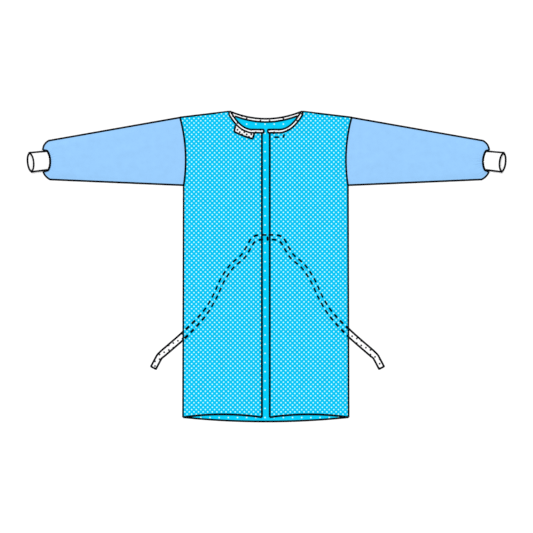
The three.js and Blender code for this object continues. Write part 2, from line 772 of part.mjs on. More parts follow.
function cuff(name, side, pulled) {
  const outer = [];
  const inner = [];
  const shares = Array.from({ length: CUFF_POINTS + 1 }, (_, k) => {
    return (1 - Math.cos((Math.PI * k) / CUFF_POINTS)) / 2;
  });
  for (const along of CUFF_STATIONS) {
    const mouth = along ** 3;
    const height = mix(CUFF_SEAM_HEIGHT, CUFF_MOUTH_HEIGHT, along);
    const blend = (a, b) => ({ x: mix(a.x, b.x, along), y: mix(a.y, b.y, along) });
    const under = blend(CUFF_SEAM_UNDER, CUFF_MOUTH_UNDER);
    const top = blend(CUFF_SEAM_TOP, CUFF_MOUTH_TOP);
    const ends = movedIn(under, top, height / 2);
    const wall = (reach) => (q) => {
      const round = Math.sqrt(Math.max(4 * q * (1 - q), 0));
      const bow = -(1 - along) * CUFF_SEAM_BOW * 4 * q * (1 - q) + mouth * reach * round;
      return [mix(ends.from.x, ends.to.x, q) + bow, mix(ends.from.y, ends.to.y, q)];
    };
    const rings = flatRings({
      under,
      top,
      upperPath: (k) => wall(-CUFF_MOUTH_BACK)(shares[Math.round(k * CUFF_POINTS)]),
      lowerPath: wall(CUFF_MOUTH_OUT),
      height,
      wall: KNIT,
      lift: () => 0,
      upperCount: CUFF_POINTS,
      lowerShares: shares,
    });
    outer.push(rings.outer.map(([x, y, z]) => [side * (x + pulled), y, z]));
    inner.push(rings.inner.map(([x, y, z]) => [side * (x + pulled), y, z]));
  }
  return tubeMesh(name, outer, inner, WHITE, KNIT_ROUGH);
}

// ---------------------------------------------------------------- belt

function waistBelt() {
  const end = BELT_COURSE[BELT_COURSE.length - 1].out;
  const half = BELT_WIDTH / 2;
  const sections = [];
  for (let k = -BELT_STEPS; k <= BELT_STEPS; k += 1) {
    const out = (end * k) / BELT_STEPS;
    const x = BELT_MIDDLE_X + out;
    const before = Math.max(Math.abs(out) - SLOPE_STEP, 0);
    const after = Math.min(Math.abs(out) + SLOPE_STEP, end);
    const slope = (Math.sign(out) * (courseY(after) - courseY(before))) / (after - before);
    const length = Math.hypot(1, slope);
    const nx = -slope / length;
    const ny = 1 / length;
    const y = courseY(Math.abs(out));
    const corner = (offset, z) => [x + nx * offset, y + ny * offset, z];
    sections.push([corner(-half, 0), corner(half, 0), corner(half, TAPE), corner(-half, TAPE)]);
  }
  const flat = [
    [-half, 0],
    [half, 0],
    [half, TAPE],
    [-half, TAPE],
  ];
  return barMesh("waist_belt", sections, flat, WHITE, TAPE_ROUGH);
}

const gown = new THREE.Group();
gown.name = "procedure_gown";
gown.add(frontPanel());
gown.add(backPanel("back_left", -1));
gown.add(backPanel("back_right", 1));
gown.add(sleeve("sleeve_left", -1, 0));
gown.add(sleeve("sleeve_right", 1, RIGHT_CUFF_PULLED));
gown.add(cuff("cuff_left", -1, 0));
gown.add(cuff("cuff_right", 1, RIGHT_CUFF_PULLED));
gown.add(frontBinding());
gown.add(backBinding("neck_binding_left", -1));
gown.add(backBinding("neck_binding_right", 1));
gown.add(loopTab());
gown.add(hookTab());
gown.add(waistBelt());

export default gown;
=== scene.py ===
import math

import bmesh
import bpy
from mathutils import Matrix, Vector


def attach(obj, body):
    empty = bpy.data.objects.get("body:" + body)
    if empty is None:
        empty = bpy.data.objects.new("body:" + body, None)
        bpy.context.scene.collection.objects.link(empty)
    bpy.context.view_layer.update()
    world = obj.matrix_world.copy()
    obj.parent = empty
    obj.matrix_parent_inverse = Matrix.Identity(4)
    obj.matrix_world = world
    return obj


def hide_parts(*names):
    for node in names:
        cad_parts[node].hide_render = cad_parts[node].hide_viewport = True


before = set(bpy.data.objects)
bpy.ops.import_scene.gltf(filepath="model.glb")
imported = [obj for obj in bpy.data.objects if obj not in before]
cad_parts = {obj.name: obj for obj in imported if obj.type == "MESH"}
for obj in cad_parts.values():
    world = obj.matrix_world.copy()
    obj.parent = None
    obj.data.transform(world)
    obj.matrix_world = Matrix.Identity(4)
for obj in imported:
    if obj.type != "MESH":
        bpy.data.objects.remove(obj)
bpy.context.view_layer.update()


# ---------------------------------------------------------------- front
# One piece of thin blue nonwoven cloth with a shallow neck and a hem that dips in the middle.
# It lies undermost with its printed outside on the surface, so its inside, where the print shows
# through only in rows of small dots, is what the opening, the neck and the hem let see.

WALL = 0.0006
TAPE = 0.0006
LAYER_GAP = 0.0002
TAPE_LIFT = TAPE + LAYER_GAP
LAYER_LIFT = WALL + LAYER_GAP

SIDE_HEM_X = 0.3185
SIDE_HEM_Y = -0.5801
FRONT_HEM_SAG = 0.0164
UNDERARM_Y = 0.3135
ARMHOLE_NARROW_X = 0.3084
ARMHOLE_NARROW_Y = 0.4101
SHOULDER_X = 0.330
SHOULDER_Y = 0.5732
OPENING_X = 0.0152
NECK_X = 0.134
NECK_Y = 0.5965
FRONT_NECK_Y = 0.5699
NECK_INSET = 0.0012
FRONT_NECK_FLAT = 0.017
FRONT_NECK_RAMP = 0.050

BELT_MIDDLE_X = 0.0065
BELT_HALF = 0.011
BELT_RAMP = 0.010
BELT_COURSE = [
    {"out": out, "y": y}
    for out, y in (
        (0.0, 0.1131), (0.0346, 0.1115), (0.048, 0.107), (0.0604, 0.0955),
        (0.0766, 0.0666), (0.0943, 0.0395), (0.1386, -0.0005), (0.1744, -0.054),
        (0.202, -0.1143), (0.235, -0.1706), (0.275, -0.2178), (0.325, -0.2668),
        (0.405, -0.3365), (0.416, -0.347), (0.4215, -0.3565), (0.44, -0.3914),
    )
]
BELT_END = BELT_COURSE[-1]["out"]
COURSE_STEPS = 200
FOOT_PASSES = 3

FRONT_CELLS = (140, 258)
CORNER_MARK = 0.42
EDGE_PASSES = 4
FRONT_HEM_THREAD_WIDE = 0.0071
THREAD_WIDE = 0.0076
THREAD_TALL = 0.0016
STITCH_STEP = 0.0009
STITCHES_A_TURN = 4
THREAD_WAVE = 0.07
THREAD_RELIEF = 0.22
THREAD_SIDES = 8
THREAD_WELD = 1e-6

CLOTH_BLUE = (0.0, 0.5, 0.84, 1)
CLOTH_INSIDE = (0.0, 0.575, 0.89, 1)
PRINT_WHITE = (0.66, 0.99, 0.97, 1)
PRINT_BLED = (0.0, 0.63, 0.87, 1)
BLEED_OUT = 0.0018
BLEED_SOFT = 0.0009
PRINT_SOFT = 0.0007
CLOTH_RELIEF = 0.00018
CLOTH_RELIEF_SHARE = 0.7
STRAND_RELIEF = 0.0001
THREAD_INK = (0.0015, 0.0018, 0.0035, 1)
# Dark colour of the belt's edges under the cloth: partly showing through, partly painted shade.
BELT_SHOWING_AND_SHADE = (0.0008, 0.002, 0.004, 1)


def mix(a, b, share):
    return a + (b - a) * share


def between(start, end, share):
    return [mix(a, b, share) for a, b in zip(start, end)]


def arch(share):
    """0 at both ends and 1 in the middle."""
    return 4 * share * (1 - share)


def soft(share):
    share = min(max(share, 0), 1)
    return share * share * (3 - 2 * share)


def armhole_x(y):
    share = (y - ARMHOLE_NARROW_Y) / (SHOULDER_Y - ARMHOLE_NARROW_Y)
    return ARMHOLE_NARROW_X + (SHOULDER_X - ARMHOLE_NARROW_X) * share * share


def half_width(y):
    if y <= UNDERARM_Y:
        down = (UNDERARM_Y - y) / (UNDERARM_Y - SIDE_HEM_Y)
        return mix(armhole_x(UNDERARM_Y), SIDE_HEM_X, down)
    return armhole_x(min(y, SHOULDER_Y))


def shoulder_y(x):
    return mix(NECK_Y, SHOULDER_Y, (abs(x) - NECK_X) / (SHOULDER_X - NECK_X))


def front_neck_y(x):
    return FRONT_NECK_Y + (NECK_Y - FRONT_NECK_Y) * (x / NECK_X) ** 2


def front_top_y(x):
    return min(shoulder_y(x), front_neck_y(x) - NECK_INSET)


def front_hem_y(x):
    return SIDE_HEM_Y - FRONT_HEM_SAG * (1 - (x / SIDE_HEM_X) ** 2)


def course_slope(row):
    if row == 0:
        return 0
    after = BELT_COURSE[min(row + 1, len(BELT_COURSE) - 1)]
    before = BELT_COURSE[row - 1]
    return (after["y"] - before["y"]) / (after["out"] - before["out"])


def course_y(out):
    row = 0
    while row < len(BELT_COURSE) - 2 and BELT_COURSE[row + 1]["out"] < out:
        row += 1
    start, end = BELT_COURSE[row], BELT_COURSE[row + 1]
    run = end["out"] - start["out"]
    s = (out - start["out"]) / run
    leave = (1 + 2 * s) * (1 - s) ** 2 * start["y"] + s * (1 - s) ** 2 * run * course_slope(row)
    arrive = s * s * (3 - 2 * s) * end["y"] + s * s * (s - 1) * run * course_slope(row + 1)
    return leave + arrive


def course_rise(out):
    step = 0.0005
    low, high = max(out - step, 0), min(out + step, BELT_END)
    return (course_y(high) - course_y(low)) / (high - low) if out > step else 0


def course_lengths(offset):
    """Length along a line offset from the belt's middle line, at equal steps out."""
    lengths, before = [0.0], None
    for k in range(COURSE_STEPS + 1):
        out = BELT_END * k / COURSE_STEPS
        rise = course_rise(out)
        long = math.hypot(1, rise)
        point = (out - rise / long * offset, course_y(out) + offset / long)
        if before:
            lengths.append(lengths[-1] + math.dist(before, point))
        before = point
    return lengths


EDGE_FROM_MIDDLE = 0.0094
EDGE_SPREAD = [
    (0.0, 0.0082), (0.048, 0.0099), (0.068, 0.0085), (0.156, 0.0083), (0.188, 0.008),
    (0.218, 0.008), (0.255, 0.0093), (0.3, 0.0106), (0.34, 0.0118),
]
UPPER_LENGTHS = course_lengths(EDGE_FROM_MIDDLE)
LOWER_LENGTHS = course_lengths(-EDGE_FROM_MIDDLE)
UPPER_FIRST_STITCH = 0.013
LOWER_FIRST_STITCH = 0.0255


def edge_spread(out):
    """Distance from the belt's middle line to its stitched edges, which draw in under the gown."""
    for (low, narrow), (high, wide) in zip(EDGE_SPREAD, EDGE_SPREAD[1:]):
        if out < high:
            return mix(narrow, wide, (out - low) / (high - low))
    return EDGE_SPREAD[-1][1]


def over_belt(x, y):
    """Signed distance from the belt's middle line, the place out of its foot, the length along."""
    foot = abs(x - BELT_MIDDLE_X)
    for _ in range(FOOT_PASSES):
        rise = course_rise(min(foot, BELT_END))
        gap = y - course_y(foot)
        foot = max(foot + (abs(x - BELT_MIDDLE_X) - foot + gap * rise) / (1 + rise * rise), 0)
    gap = y - course_y(foot)
    across = math.copysign(math.hypot(abs(x - BELT_MIDDLE_X) - foot, gap), gap)
    lengths, first = UPPER_LENGTHS, UPPER_FIRST_STITCH
    if across <= 0:
        lengths, first = LOWER_LENGTHS, LOWER_FIRST_STITCH
    place = min(foot / BELT_END * COURSE_STEPS, COURSE_STEPS - 1)
    low = int(place)
    return across, foot, mix(lengths[low], lengths[low + 1], place - low) - first


def distance_to_neck(curve, x, y):
    samples = 24
    return min(
        math.hypot(abs(x) - NECK_X * k / samples, y - curve(NECK_X * k / samples))
        for k in range(samples + 1)
    )


def front_height(x, y):
    """Underside of the front: on the surface, lifted by the neck tape and the belt beneath it."""
    neck = 0
    if y > FRONT_NECK_Y - 2 * FRONT_NECK_RAMP and abs(x) < 2 * NECK_X:
        away = distance_to_neck(front_neck_y, x, y) - FRONT_NECK_FLAT
        neck = soft(1 - away / FRONT_NECK_RAMP)
    belt = soft(1 - (abs(over_belt(x, y)[0]) - BELT_HALF) / BELT_RAMP)
    return TAPE_LIFT * max(neck, belt)


def side_share(u):
    """Share of the way from the opening edge to the side; the shoulder starts at CORNER_MARK."""
    corner = (NECK_X - OPENING_X) / (SHOULDER_X - OPENING_X)
    if u < CORNER_MARK:
        return corner * u / CORNER_MARK
    return mix(corner, 1, (u - CORNER_MARK) / (1 - CORNER_MARK))


def body_point(side, share, w, hem, top, height):
    """Point of a body panel at a share out to the side and a share w up from hem to top."""
    low = hem(side * mix(OPENING_X, SIDE_HEM_X, share))
    high = SHOULDER_Y
    for _ in range(EDGE_PASSES):
        high = top(side * mix(OPENING_X, half_width(high), share))
    y = mix(low, high, w)
    x = side * mix(OPENING_X, half_width(y), share)
    return Vector((x, y, height(x, y)))


def grid_of(mesh, across, along, place):
    """Adds a grid of quads whose points place(u, w) sets, u and w running from 0 to 1."""
    made = bmesh.ops.create_grid(mesh, x_segments=across, y_segments=along, size=0.5)
    for vert in made["verts"]:
        vert.co = place(vert.co.x + 0.5, vert.co.y + 0.5)
    return made["verts"]


def piece_of(name, mesh, materials, wall=0.0, outward=1, marks=False, even=True):
    """Makes the mesh an object that rides on the gown; wall gives an open sheet its thickness,
    and marks are the distances from the belt that its cloth reads."""
    data = bpy.data.meshes.new(name)
    mesh.to_mesh(data)
    mesh.free()
    for polygon in data.polygons:
        polygon.use_smooth = True
    for material in materials:
        data.materials.append(material)
    if marks:
        places = [over_belt(vert.co.x, vert.co.y) for vert in data.vertices]
        across = data.attributes.new("belt_across", "FLOAT", "POINT")
        across.data.foreach_set(
            "value", [gap * EDGE_FROM_MIDDLE / edge_spread(foot) for gap, foot, _ in places]
        )
        along = data.attributes.new("belt_along", "FLOAT", "POINT")
        along.data.foreach_set("value", [length for _, _, length in places])
    piece = bpy.data.objects.new(name, data)
    bpy.context.scene.collection.objects.link(piece)
    if wall:
        solid = piece.modifiers.new("wall", "SOLIDIFY")
        solid.thickness = wall
        solid.offset = outward
        solid.use_even_offset = even
        if len(materials) > 1:
            solid.material_offset = 1
            solid.material_offset_rim = 1
    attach(piece, "root")
    return piece


def sheet_of(name, cells, place, materials, wall, outward, node, slot, turned_out=False, **kinds):
    """A grid of cloth or tape that takes the place of a CAD node; turned_out reverses its faces."""
    mesh = bmesh.new()
    grid_of(mesh, *cells, place)
    if turned_out:
        bmesh.ops.reverse_faces(mesh, faces=mesh.faces)
    piece = piece_of(name, mesh, materials, wall, outward, **kinds)
    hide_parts(node)
    return piece


def shader_node(tree, kind, inputs=(), **settings):
    """A node with its settings; inputs are (socket number or name, value or socket to link)."""
    node = tree.nodes.new(kind)
    for key, value in settings.items():
        setattr(node, key, value)
    for socket, value in inputs:
        if isinstance(value, bpy.types.NodeSocket):
            tree.links.new(value, node.inputs[socket])
        else:
            node.inputs[socket].default_value = value
    return node


def maths(tree, operation, *values):
    return shader_node(tree, "ShaderNodeMath", enumerate(values), operation=operation).outputs[0]


def fading(tree, value, full, none):
    """1 where the value is below full, 0 where it is above none, with a soft step between."""
    inputs = [(0, value), (1, full), (2, none), (3, 1.0), (4, 0.0)]
    return shader_node(tree, "ShaderNodeMapRange", inputs, interpolation_type="SMOOTHSTEP").outputs[0]


def noise(tree, place, scale, detail, roughness):
    inputs = [(0, place), (2, scale), (3, detail), (4, roughness)]
    return shader_node(tree, "ShaderNodeTexNoise", inputs).outputs[0]


def effect(tree, group, inputs):
    """The outputs of an effect group at work in a material or in another group."""
    return shader_node(tree, "ShaderNodeGroup", inputs.items(), node_tree=group).outputs


def effect_group(name, inputs, outputs):
    """An empty effect group; an input without a default is a place, the others are numbers."""
    tree = bpy.data.node_groups.new(name, "ShaderNodeTree")
    for label, default in inputs.items():
        kind = "NodeSocketVector" if default is None else "NodeSocketFloat"
        socket = tree.interface.new_socket(label, in_out="INPUT", socket_type=kind)
        if default is not None:
            socket.default_value = default
    for label in outputs:
        tree.interface.new_socket(label, in_out="OUTPUT", socket_type="NodeSocketFloat")
    return tree, tree.nodes.new("NodeGroupInput").outputs, tree.nodes.new("NodeGroupOutput").inputs


def dot_lattice_group():
    """Round dots on two interleaved grids, or on one when stagger is 0; stretch widens the rows."""
    tree, given, out = effect_group(
        "dot_lattice",
        {"Place": None, "Pitch": 0.0177, "Stretch": 1.0, "Radius": 0.003, "Softness": 0.0006, "Stagger": 1.0},
        ["Mask"],
    )

    def vector(operation, *values):
        return shader_node(tree, "ShaderNodeVectorMath", enumerate(values), operation=operation).outputs

    def corner(x, y, z):
        return shader_node(tree, "ShaderNodeCombineXYZ", enumerate((x, y, z))).outputs[0]

    def distance(point):
        wrapped = vector("WRAP", point, corner(half_x, half, 1.0), corner(back_x, back, -1.0))[0]
        return vector("LENGTH", wrapped)["Value"]

    flat = vector("MULTIPLY", given["Place"], (1, 1, 0))[0]
    half = maths(tree, "MULTIPLY", given["Pitch"], 0.5)
    back = maths(tree, "MULTIPLY", given["Pitch"], -0.5)
    half_x = maths(tree, "MULTIPLY", half, given["Stretch"])
    back_x = maths(tree, "MULTIPLY", back, given["Stretch"])
    moved = vector("ADD", flat, corner(half_x, half, 0.0))[0]
    near = [distance(flat), distance(moved)]
    single = maths(tree, "SUBTRACT", 1.0, given["Stagger"])
    nearest = maths(tree, "MINIMUM", near[0], maths(tree, "ADD", near[1], single))
    inner = maths(tree, "SUBTRACT", given["Radius"], given["Softness"])
    outer = maths(tree, "ADD", given["Radius"], given["Softness"])
    tree.links.new(fading(tree, nearest, inner, outer), out["Mask"])
    return tree


def bonded_cloth_group():
    """Nonwoven cloth: small bonding dimples, loose fibres between them and a slightly uneven tone."""
    bond_radius, bond_soft, bond_height, bond_tone = 0.2, 0.5, -0.7, 0.15
    fibre_height, fibre_tone = 0.5, 0.35
    tree, given, out = effect_group(
        "bonded_cloth", {"Place": None, "Bond pitch": 0.0016}, ["Height", "Tone"]
    )
    radius = maths(tree, "MULTIPLY", given["Bond pitch"], bond_radius)
    softness = maths(tree, "MULTIPLY", radius, bond_soft)
    lattice = {"Place": given["Place"], "Pitch": given["Bond pitch"]}
    bonds = effect(tree, DOT_LATTICE, {**lattice, "Radius": radius, "Softness": softness})["Mask"]
    fibres = noise(tree, given["Place"], scale=1400.0, detail=3.0, roughness=0.6)
    clouds = noise(tree, given["Place"], scale=38.0, detail=4.0, roughness=0.55)
    pressed = maths(tree, "MULTIPLY", bonds, bond_height)
    height = maths(tree, "ADD", maths(tree, "MULTIPLY", fibres, fibre_height), pressed)
    tone = maths(tree, "ADD", maths(tree, "MULTIPLY", fibres, fibre_tone), clouds)
    tone = maths(tree, "SUBTRACT", tone, maths(tree, "MULTIPLY", bonds, bond_tone))
    tree.links.new(height, out["Height"])
    tree.links.new(tone, out["Tone"])
    return tree


def belt_shadow_group():
    """What thin cloth lets show of the belt under it: its stitched edges as dark dashes, partly showing
    through and partly painted shade.
    """
    tree, given, out = effect_group("belt_shadow", {"Across": 1.0, "Along": 0.0}, ["Line"])
    stitch_pitch, stitch_share = 0.032, 0.58
    line_half, line_soft = 0.0041, 0.0005
    middle = maths(tree, "ABSOLUTE", given["Across"])
    off = maths(tree, "ABSOLUTE", maths(tree, "SUBTRACT", middle, EDGE_FROM_MIDDLE))
    line = fading(tree, off, line_half - line_soft, line_half + line_soft)
    turn = maths(tree, "WRAP", given["Along"], stitch_pitch / 2, -stitch_pitch / 2)
    reach = stitch_pitch * stitch_share / 2
    dash = fading(tree, maths(tree, "ABSOLUTE", turn), reach - line_soft, reach + line_soft)
    tree.links.new(maths(tree, "MULTIPLY", line, dash), out["Line"])
    return tree


DOT_LATTICE = dot_lattice_group()
BONDED_CLOTH = bonded_cloth_group()
BELT_SHADOW = belt_shadow_group()


def finish(name, roughness, specular, sheen=0.0):
    """A material with its shader, and the Object coordinates that its patterns read."""
    material = bpy.data.materials.new(name)
    material.use_nodes = True
    tree = material.node_tree
    shader = tree.nodes["Principled BSDF"]
    shader.inputs["Roughness"].default_value = roughness
    shader.inputs["Specular IOR Level"].default_value = specular
    shader.inputs["Sheen Weight"].default_value = sheen
    place = tree.nodes.new("ShaderNodeTexCoord").outputs["Object"]
    return material, tree, shader, place


def colour_mix(tree, share, first, second, blend="MIX"):
    node = shader_node(tree, "ShaderNodeMix", data_type="RGBA", blend_type=blend)
    for socket, value in (("Factor_Float", share), ("A_Color", first), ("B_Color", second)):
        target = next(s for s in node.inputs if s.identifier == socket)
        if isinstance(value, bpy.types.NodeSocket):
            tree.links.new(value, target)
        else:
            target.default_value = value
    return next(s for s in node.outputs if s.identifier == "Result_Color")


def relief(tree, shader, height, depth, strength=1.0):
    bump = shader_node(tree, "ShaderNodeBump", [(0, strength), (1, depth), ("Height", height)])
    tree.links.new(bump.outputs[0], shader.inputs["Normal"])


def paint(tree, shader, colour, tone, low, high):
    """Gives a shader its colour, made a little darker or lighter by the cloth's own uneven tone."""
    darkest, lightest = 0.35, 0.95
    inputs = [(0, tone), (1, darkest), (2, lightest), (3, low), (4, high)]
    value = shader_node(tree, "ShaderNodeMapRange", inputs).outputs[0]
    grey = shader_node(tree, "ShaderNodeCombineColor", enumerate((value, value, value))).outputs[0]
    tree.links.new(colour_mix(tree, 1.0, colour, grey, "MULTIPLY"), shader.inputs["Base Color"])


def dots(tree, place, pitch, radius, softness, stagger=1.0, shift=(0, 0, 0), stretch=1.0):
    moved = shader_node(tree, "ShaderNodeVectorMath", [(0, place), (1, shift)], operation="ADD")
    lattice = {"Place": moved.outputs[0], "Pitch": pitch, "Stretch": stretch, "Stagger": stagger}
    return effect(tree, DOT_LATTICE, {**lattice, "Radius": radius, "Softness": softness})["Mask"]


def dotted_cloth(name, base, pitch, radius, stagger, shift):
    """Blue nonwoven cloth with its dot print and what shows of the belt beneath it, as dark dashes that are
    partly painted shade.
    """
    material, tree, shader, place = finish(name, roughness=0.88, specular=0.06)
    cloth = effect(tree, BONDED_CLOTH, {"Place": place})
    bleed = dots(tree, place, pitch, radius + BLEED_OUT, BLEED_SOFT, stagger, shift)
    print_mask = dots(tree, place, pitch, radius, PRINT_SOFT, stagger, shift)
    printed = colour_mix(tree, print_mask, colour_mix(tree, bleed, base, PRINT_BLED), PRINT_WHITE)
    across = shader_node(tree, "ShaderNodeAttribute", attribute_name="belt_across").outputs["Fac"]
    along = shader_node(tree, "ShaderNodeAttribute", attribute_name="belt_along").outputs["Fac"]
    belt = effect(tree, BELT_SHADOW, {"Across": across, "Along": along})
    printed_with_belt_shade = colour_mix(tree, belt["Line"], printed, BELT_SHOWING_AND_SHADE)
    paint(tree, shader, printed_with_belt_shade, cloth["Tone"], low=0.93, high=1.05)
    relief(tree, shader, cloth["Height"], CLOTH_RELIEF, CLOTH_RELIEF_SHARE)
    return material


PRINT_PITCH = 0.01765
PRINT_RADIUS = 0.0023
PRINT_SHIFT = (0.003, 0.0035, 0)
INSIDE_PITCH = 0.0353
INSIDE_SHIFT = (0.003, 0.0166, 0)
INSIDE_RADIUS = 0.0024
PRINTED_CLOTH = dotted_cloth("printed_cloth", CLOTH_BLUE, PRINT_PITCH, PRINT_RADIUS, 1.0, PRINT_SHIFT)
INSIDE_CLOTH = dotted_cloth("inside_cloth", CLOTH_INSIDE, INSIDE_PITCH, INSIDE_RADIUS, 0.0, INSIDE_SHIFT)


def thread_finish():
    """Dark sewing thread with fine strands."""
    material, tree, shader, place = finish("edge_thread", roughness=0.85, specular=0.05)
    strands = noise(tree, place, scale=2600.0, detail=2.0, roughness=0.5)
    paint(tree, shader, THREAD_INK, strands, low=0.7, high=1.6)
    relief(tree, shader, strands, STRAND_RELIEF)
    return material


EDGE_THREAD = thread_finish()


def thread_line(
    mesh, point_at, wide=THREAD_WIDE, tall=THREAD_TALL, closed=False, lean=(0, 0, 1), bumps=THREAD_RELIEF
):
    """Adds a row of close overlock stitches along a line; point_at(w) is its middle."""
    samples = 60
    length = sum(
        (Vector(point_at((k + 1) / samples)) - Vector(point_at(k / samples))).length
        for k in range(samples)
    )
    turns = max(round(length / STITCH_STEP / STITCHES_A_TURN), 1)
    steps = turns * STITCHES_A_TURN
    reach = 0.5 / steps

    def place(u, w):
        if closed:
            before, after = point_at((w - reach) % 1), point_at((w + reach) % 1)
        else:
            before, after = point_at(max(w - reach, 0)), point_at(min(w + reach, 1))
        ahead = Vector(after) - Vector(before)
        ahead.normalize()
        side = ahead.cross(Vector(lean))
        side.normalize()
        up = side.cross(ahead)
        angle = 2 * math.pi * u
        wave = math.sin(2 * math.pi * w * turns + angle)
        return (
            Vector(point_at(w % 1 if closed and w == 1 else w))
            + side * (math.cos(angle) * wide / 2 * (1 + THREAD_WAVE * wave))
            + up * (math.sin(angle) * tall / 2 * (1 + bumps * wave))
        )

    verts = grid_of(mesh, THREAD_SIDES, steps, place)
    bmesh.ops.remove_doubles(mesh, verts=verts, dist=THREAD_WELD)
    if not closed:
        open_edges = [edge for edge in mesh.edges if edge.is_boundary]
        bmesh.ops.holes_fill(mesh, edges=open_edges, sides=THREAD_SIDES)


def thread_piece(name, lines, **kinds):
    mesh = bmesh.new()
    for line in lines:
        thread_line(mesh, line, **kinds)
    bmesh.ops.recalc_face_normals(mesh, faces=mesh.faces)
    return piece_of(name, mesh, [EDGE_THREAD])


def front_point(u, w):
    side = 1 if u > 0.5 else -1
    out = abs(u - 0.5) * 2
    gap_share = OPENING_X / SIDE_HEM_X
    if out <= gap_share:
        x = side * OPENING_X * out / gap_share
        y = mix(front_hem_y(x), front_top_y(x), w)
        return Vector((x, y, front_height(x, y)))
    share = side_share((out - gap_share) / (1 - gap_share))
    return body_point(side, share, w, front_hem_y, front_top_y, front_height)


def front_hem_line(w):
    x = mix(-SIDE_HEM_X, SIDE_HEM_X, w)
    return (x, front_hem_y(x), THREAD_TALL / 2 + front_height(x, front_hem_y(x)))


front = sheet_of(
    "front_cloth", FRONT_CELLS, front_point, [INSIDE_CLOTH, PRINTED_CLOTH], WALL, 1, "front", "body_cloth",
    marks=True,
)
front_hem = thread_piece("front_hem_thread", [front_hem_line], wide=FRONT_HEM_THREAD_WIDE)


# ---------------------------------------------------------------- back halves
# Two pieces of the same cloth, printed side up, which lie on the front and leave a straight gap
# between their edges. Each is overlocked to the front at the side and shoulder, and its own
# opening edge and arched hem are overlocked alone.

BACK_HEM_ARCH = 0.0113
BACK_NECK_Y = 0.5295
BACK_NECK_FLAT_X = 0.055
BACK_NECK_PULL_X = 0.096
BACK_NECK_FLAT = 0.036
BACK_NECK_RAMP = 0.034
BIND_WIDTH = 0.015
BACK_CELLS = (70, 246)
AIR = 0.0006
SIDES = ((-1, "left"), (1, "right"))
SEAM_WIDE = 0.0069
SEAM_TALL = 0.0026
ARMHOLE_SEAM_Z = 0.0029
SHOULDER_SEAM_OUT = 0.0009
SHOULDER_SEAM_START = 0.009
FOLD_FREE = 0.04
BACK_FOLDS = [
    (0.205, -0.420, 0.190, 0.034, 82, 0.0017),
    (0.095, -0.300, 0.170, 0.030, 96, 0.0013),
    (0.250, 0.060, 0.150, 0.032, 74, 0.0015),
    (0.120, 0.270, 0.140, 0.034, 104, 0.0012),
    (-0.190, -0.380, 0.200, 0.036, 100, 0.0016),
    (-0.080, -0.470, 0.120, 0.028, 84, 0.0012),
    (-0.235, 0.110, 0.160, 0.034, 108, 0.0015),
    (-0.110, 0.300, 0.120, 0.032, 78, 0.0012),
    (0.262, 0.400, 0.060, 0.010, 158, 0.0011),
    (0.250, 0.345, 0.070, 0.012, 142, 0.0009),
    (-0.266, 0.385, 0.065, 0.011, 27, 0.0011),
    (-0.242, 0.330, 0.050, 0.010, 44, 0.0008),
    (0.170, -0.150, 0.080, 0.012, 61, 0.0008),
    (-0.150, -0.110, 0.090, 0.013, 117, 0.0008),
    (-0.060, 0.180, 0.110, 0.012, 95, 0.0006),
    (0.070, -0.500, 0.070, 0.013, 86, 0.0008),
]
FOLD_REACH = 9


def bend_share(x, flat, pull, end):
    first = 2 * (pull - flat)
    second = end - 2 * pull + flat
    run = max(abs(x) - flat, 0)
    return 2 * run / (first + math.sqrt(first * first + 4 * second * run))


def back_neck_y(x):
    share = bend_share(x, BACK_NECK_FLAT_X, BACK_NECK_PULL_X, NECK_X)
    return BACK_NECK_Y + (NECK_Y - BACK_NECK_Y) * share * share


def back_top_y(x):
    step = 0.001
    rise = (back_neck_y(abs(x) + step) - back_neck_y(abs(x))) / step
    return min(shoulder_y(x), back_neck_y(x) - NECK_INSET * math.hypot(1, rise))


def back_hem_y(x):
    share = (abs(x) - OPENING_X) / (SIDE_HEM_X - OPENING_X)
    return SIDE_HEM_Y + BACK_HEM_ARCH * arch(share)


def fold_height(folds, x, y):
    """Height of the soft creases; a row is the x and y of its middle, long, wide, turn and high."""
    height = 0
    for fold_x, fold_y, long, wide, turn, high in folds:
        turn = math.radians(turn)
        dx, dy = x - fold_x, y - fold_y
        along = (dx * math.cos(turn) + dy * math.sin(turn)) / long
        across = (dy * math.cos(turn) - dx * math.sin(turn)) / wide
        reach = along * along + across * across
        if reach < FOLD_REACH:
            height += high * math.exp(-reach)
    return height


def back_height(x, y):
    """Underside of a back half: on the front and on its own binding, with air and folds between."""
    bound = 0
    neck_free = 1
    if y > BACK_NECK_Y - 3 * BACK_NECK_FLAT:
        away = distance_to_neck(back_neck_y, x, y) - BACK_NECK_FLAT
        bound = TAPE_LIFT * soft(1 - away / BACK_NECK_RAMP)
        neck_free = soft(away / FOLD_FREE)
    side_free = soft((half_width(y) - abs(x)) / FOLD_FREE)
    shoulder_free = soft((shoulder_y(x) - y) / FOLD_FREE) if abs(x) > NECK_X else 1
    opening_free = soft((abs(x) - OPENING_X) / FOLD_FREE)
    held = side_free * shoulder_free * neck_free
    loose = AIR * held + fold_height(BACK_FOLDS, x, y) * held * opening_free
    return front_height(x, y) + LAYER_LIFT + bound + loose


def back_point(side, u, w):
    share = side_share(u if side > 0 else 1 - u)
    return body_point(side, share, w, back_hem_y, back_top_y, back_height)


def back_edges(side):
    """The opening edge and the hem of a back half."""

    def opening_line(w):
        y = mix(back_hem_y(OPENING_X), BACK_NECK_Y - BIND_WIDTH, w)
        return (side * OPENING_X, y, back_height(side * OPENING_X, y) + THREAD_TALL / 2)

    def hem_line(w):
        x = side * mix(OPENING_X, SIDE_HEM_X, w)
        return (x, back_hem_y(x), back_height(x, back_hem_y(x)) + THREAD_TALL / 2)

    return [opening_line, hem_line]


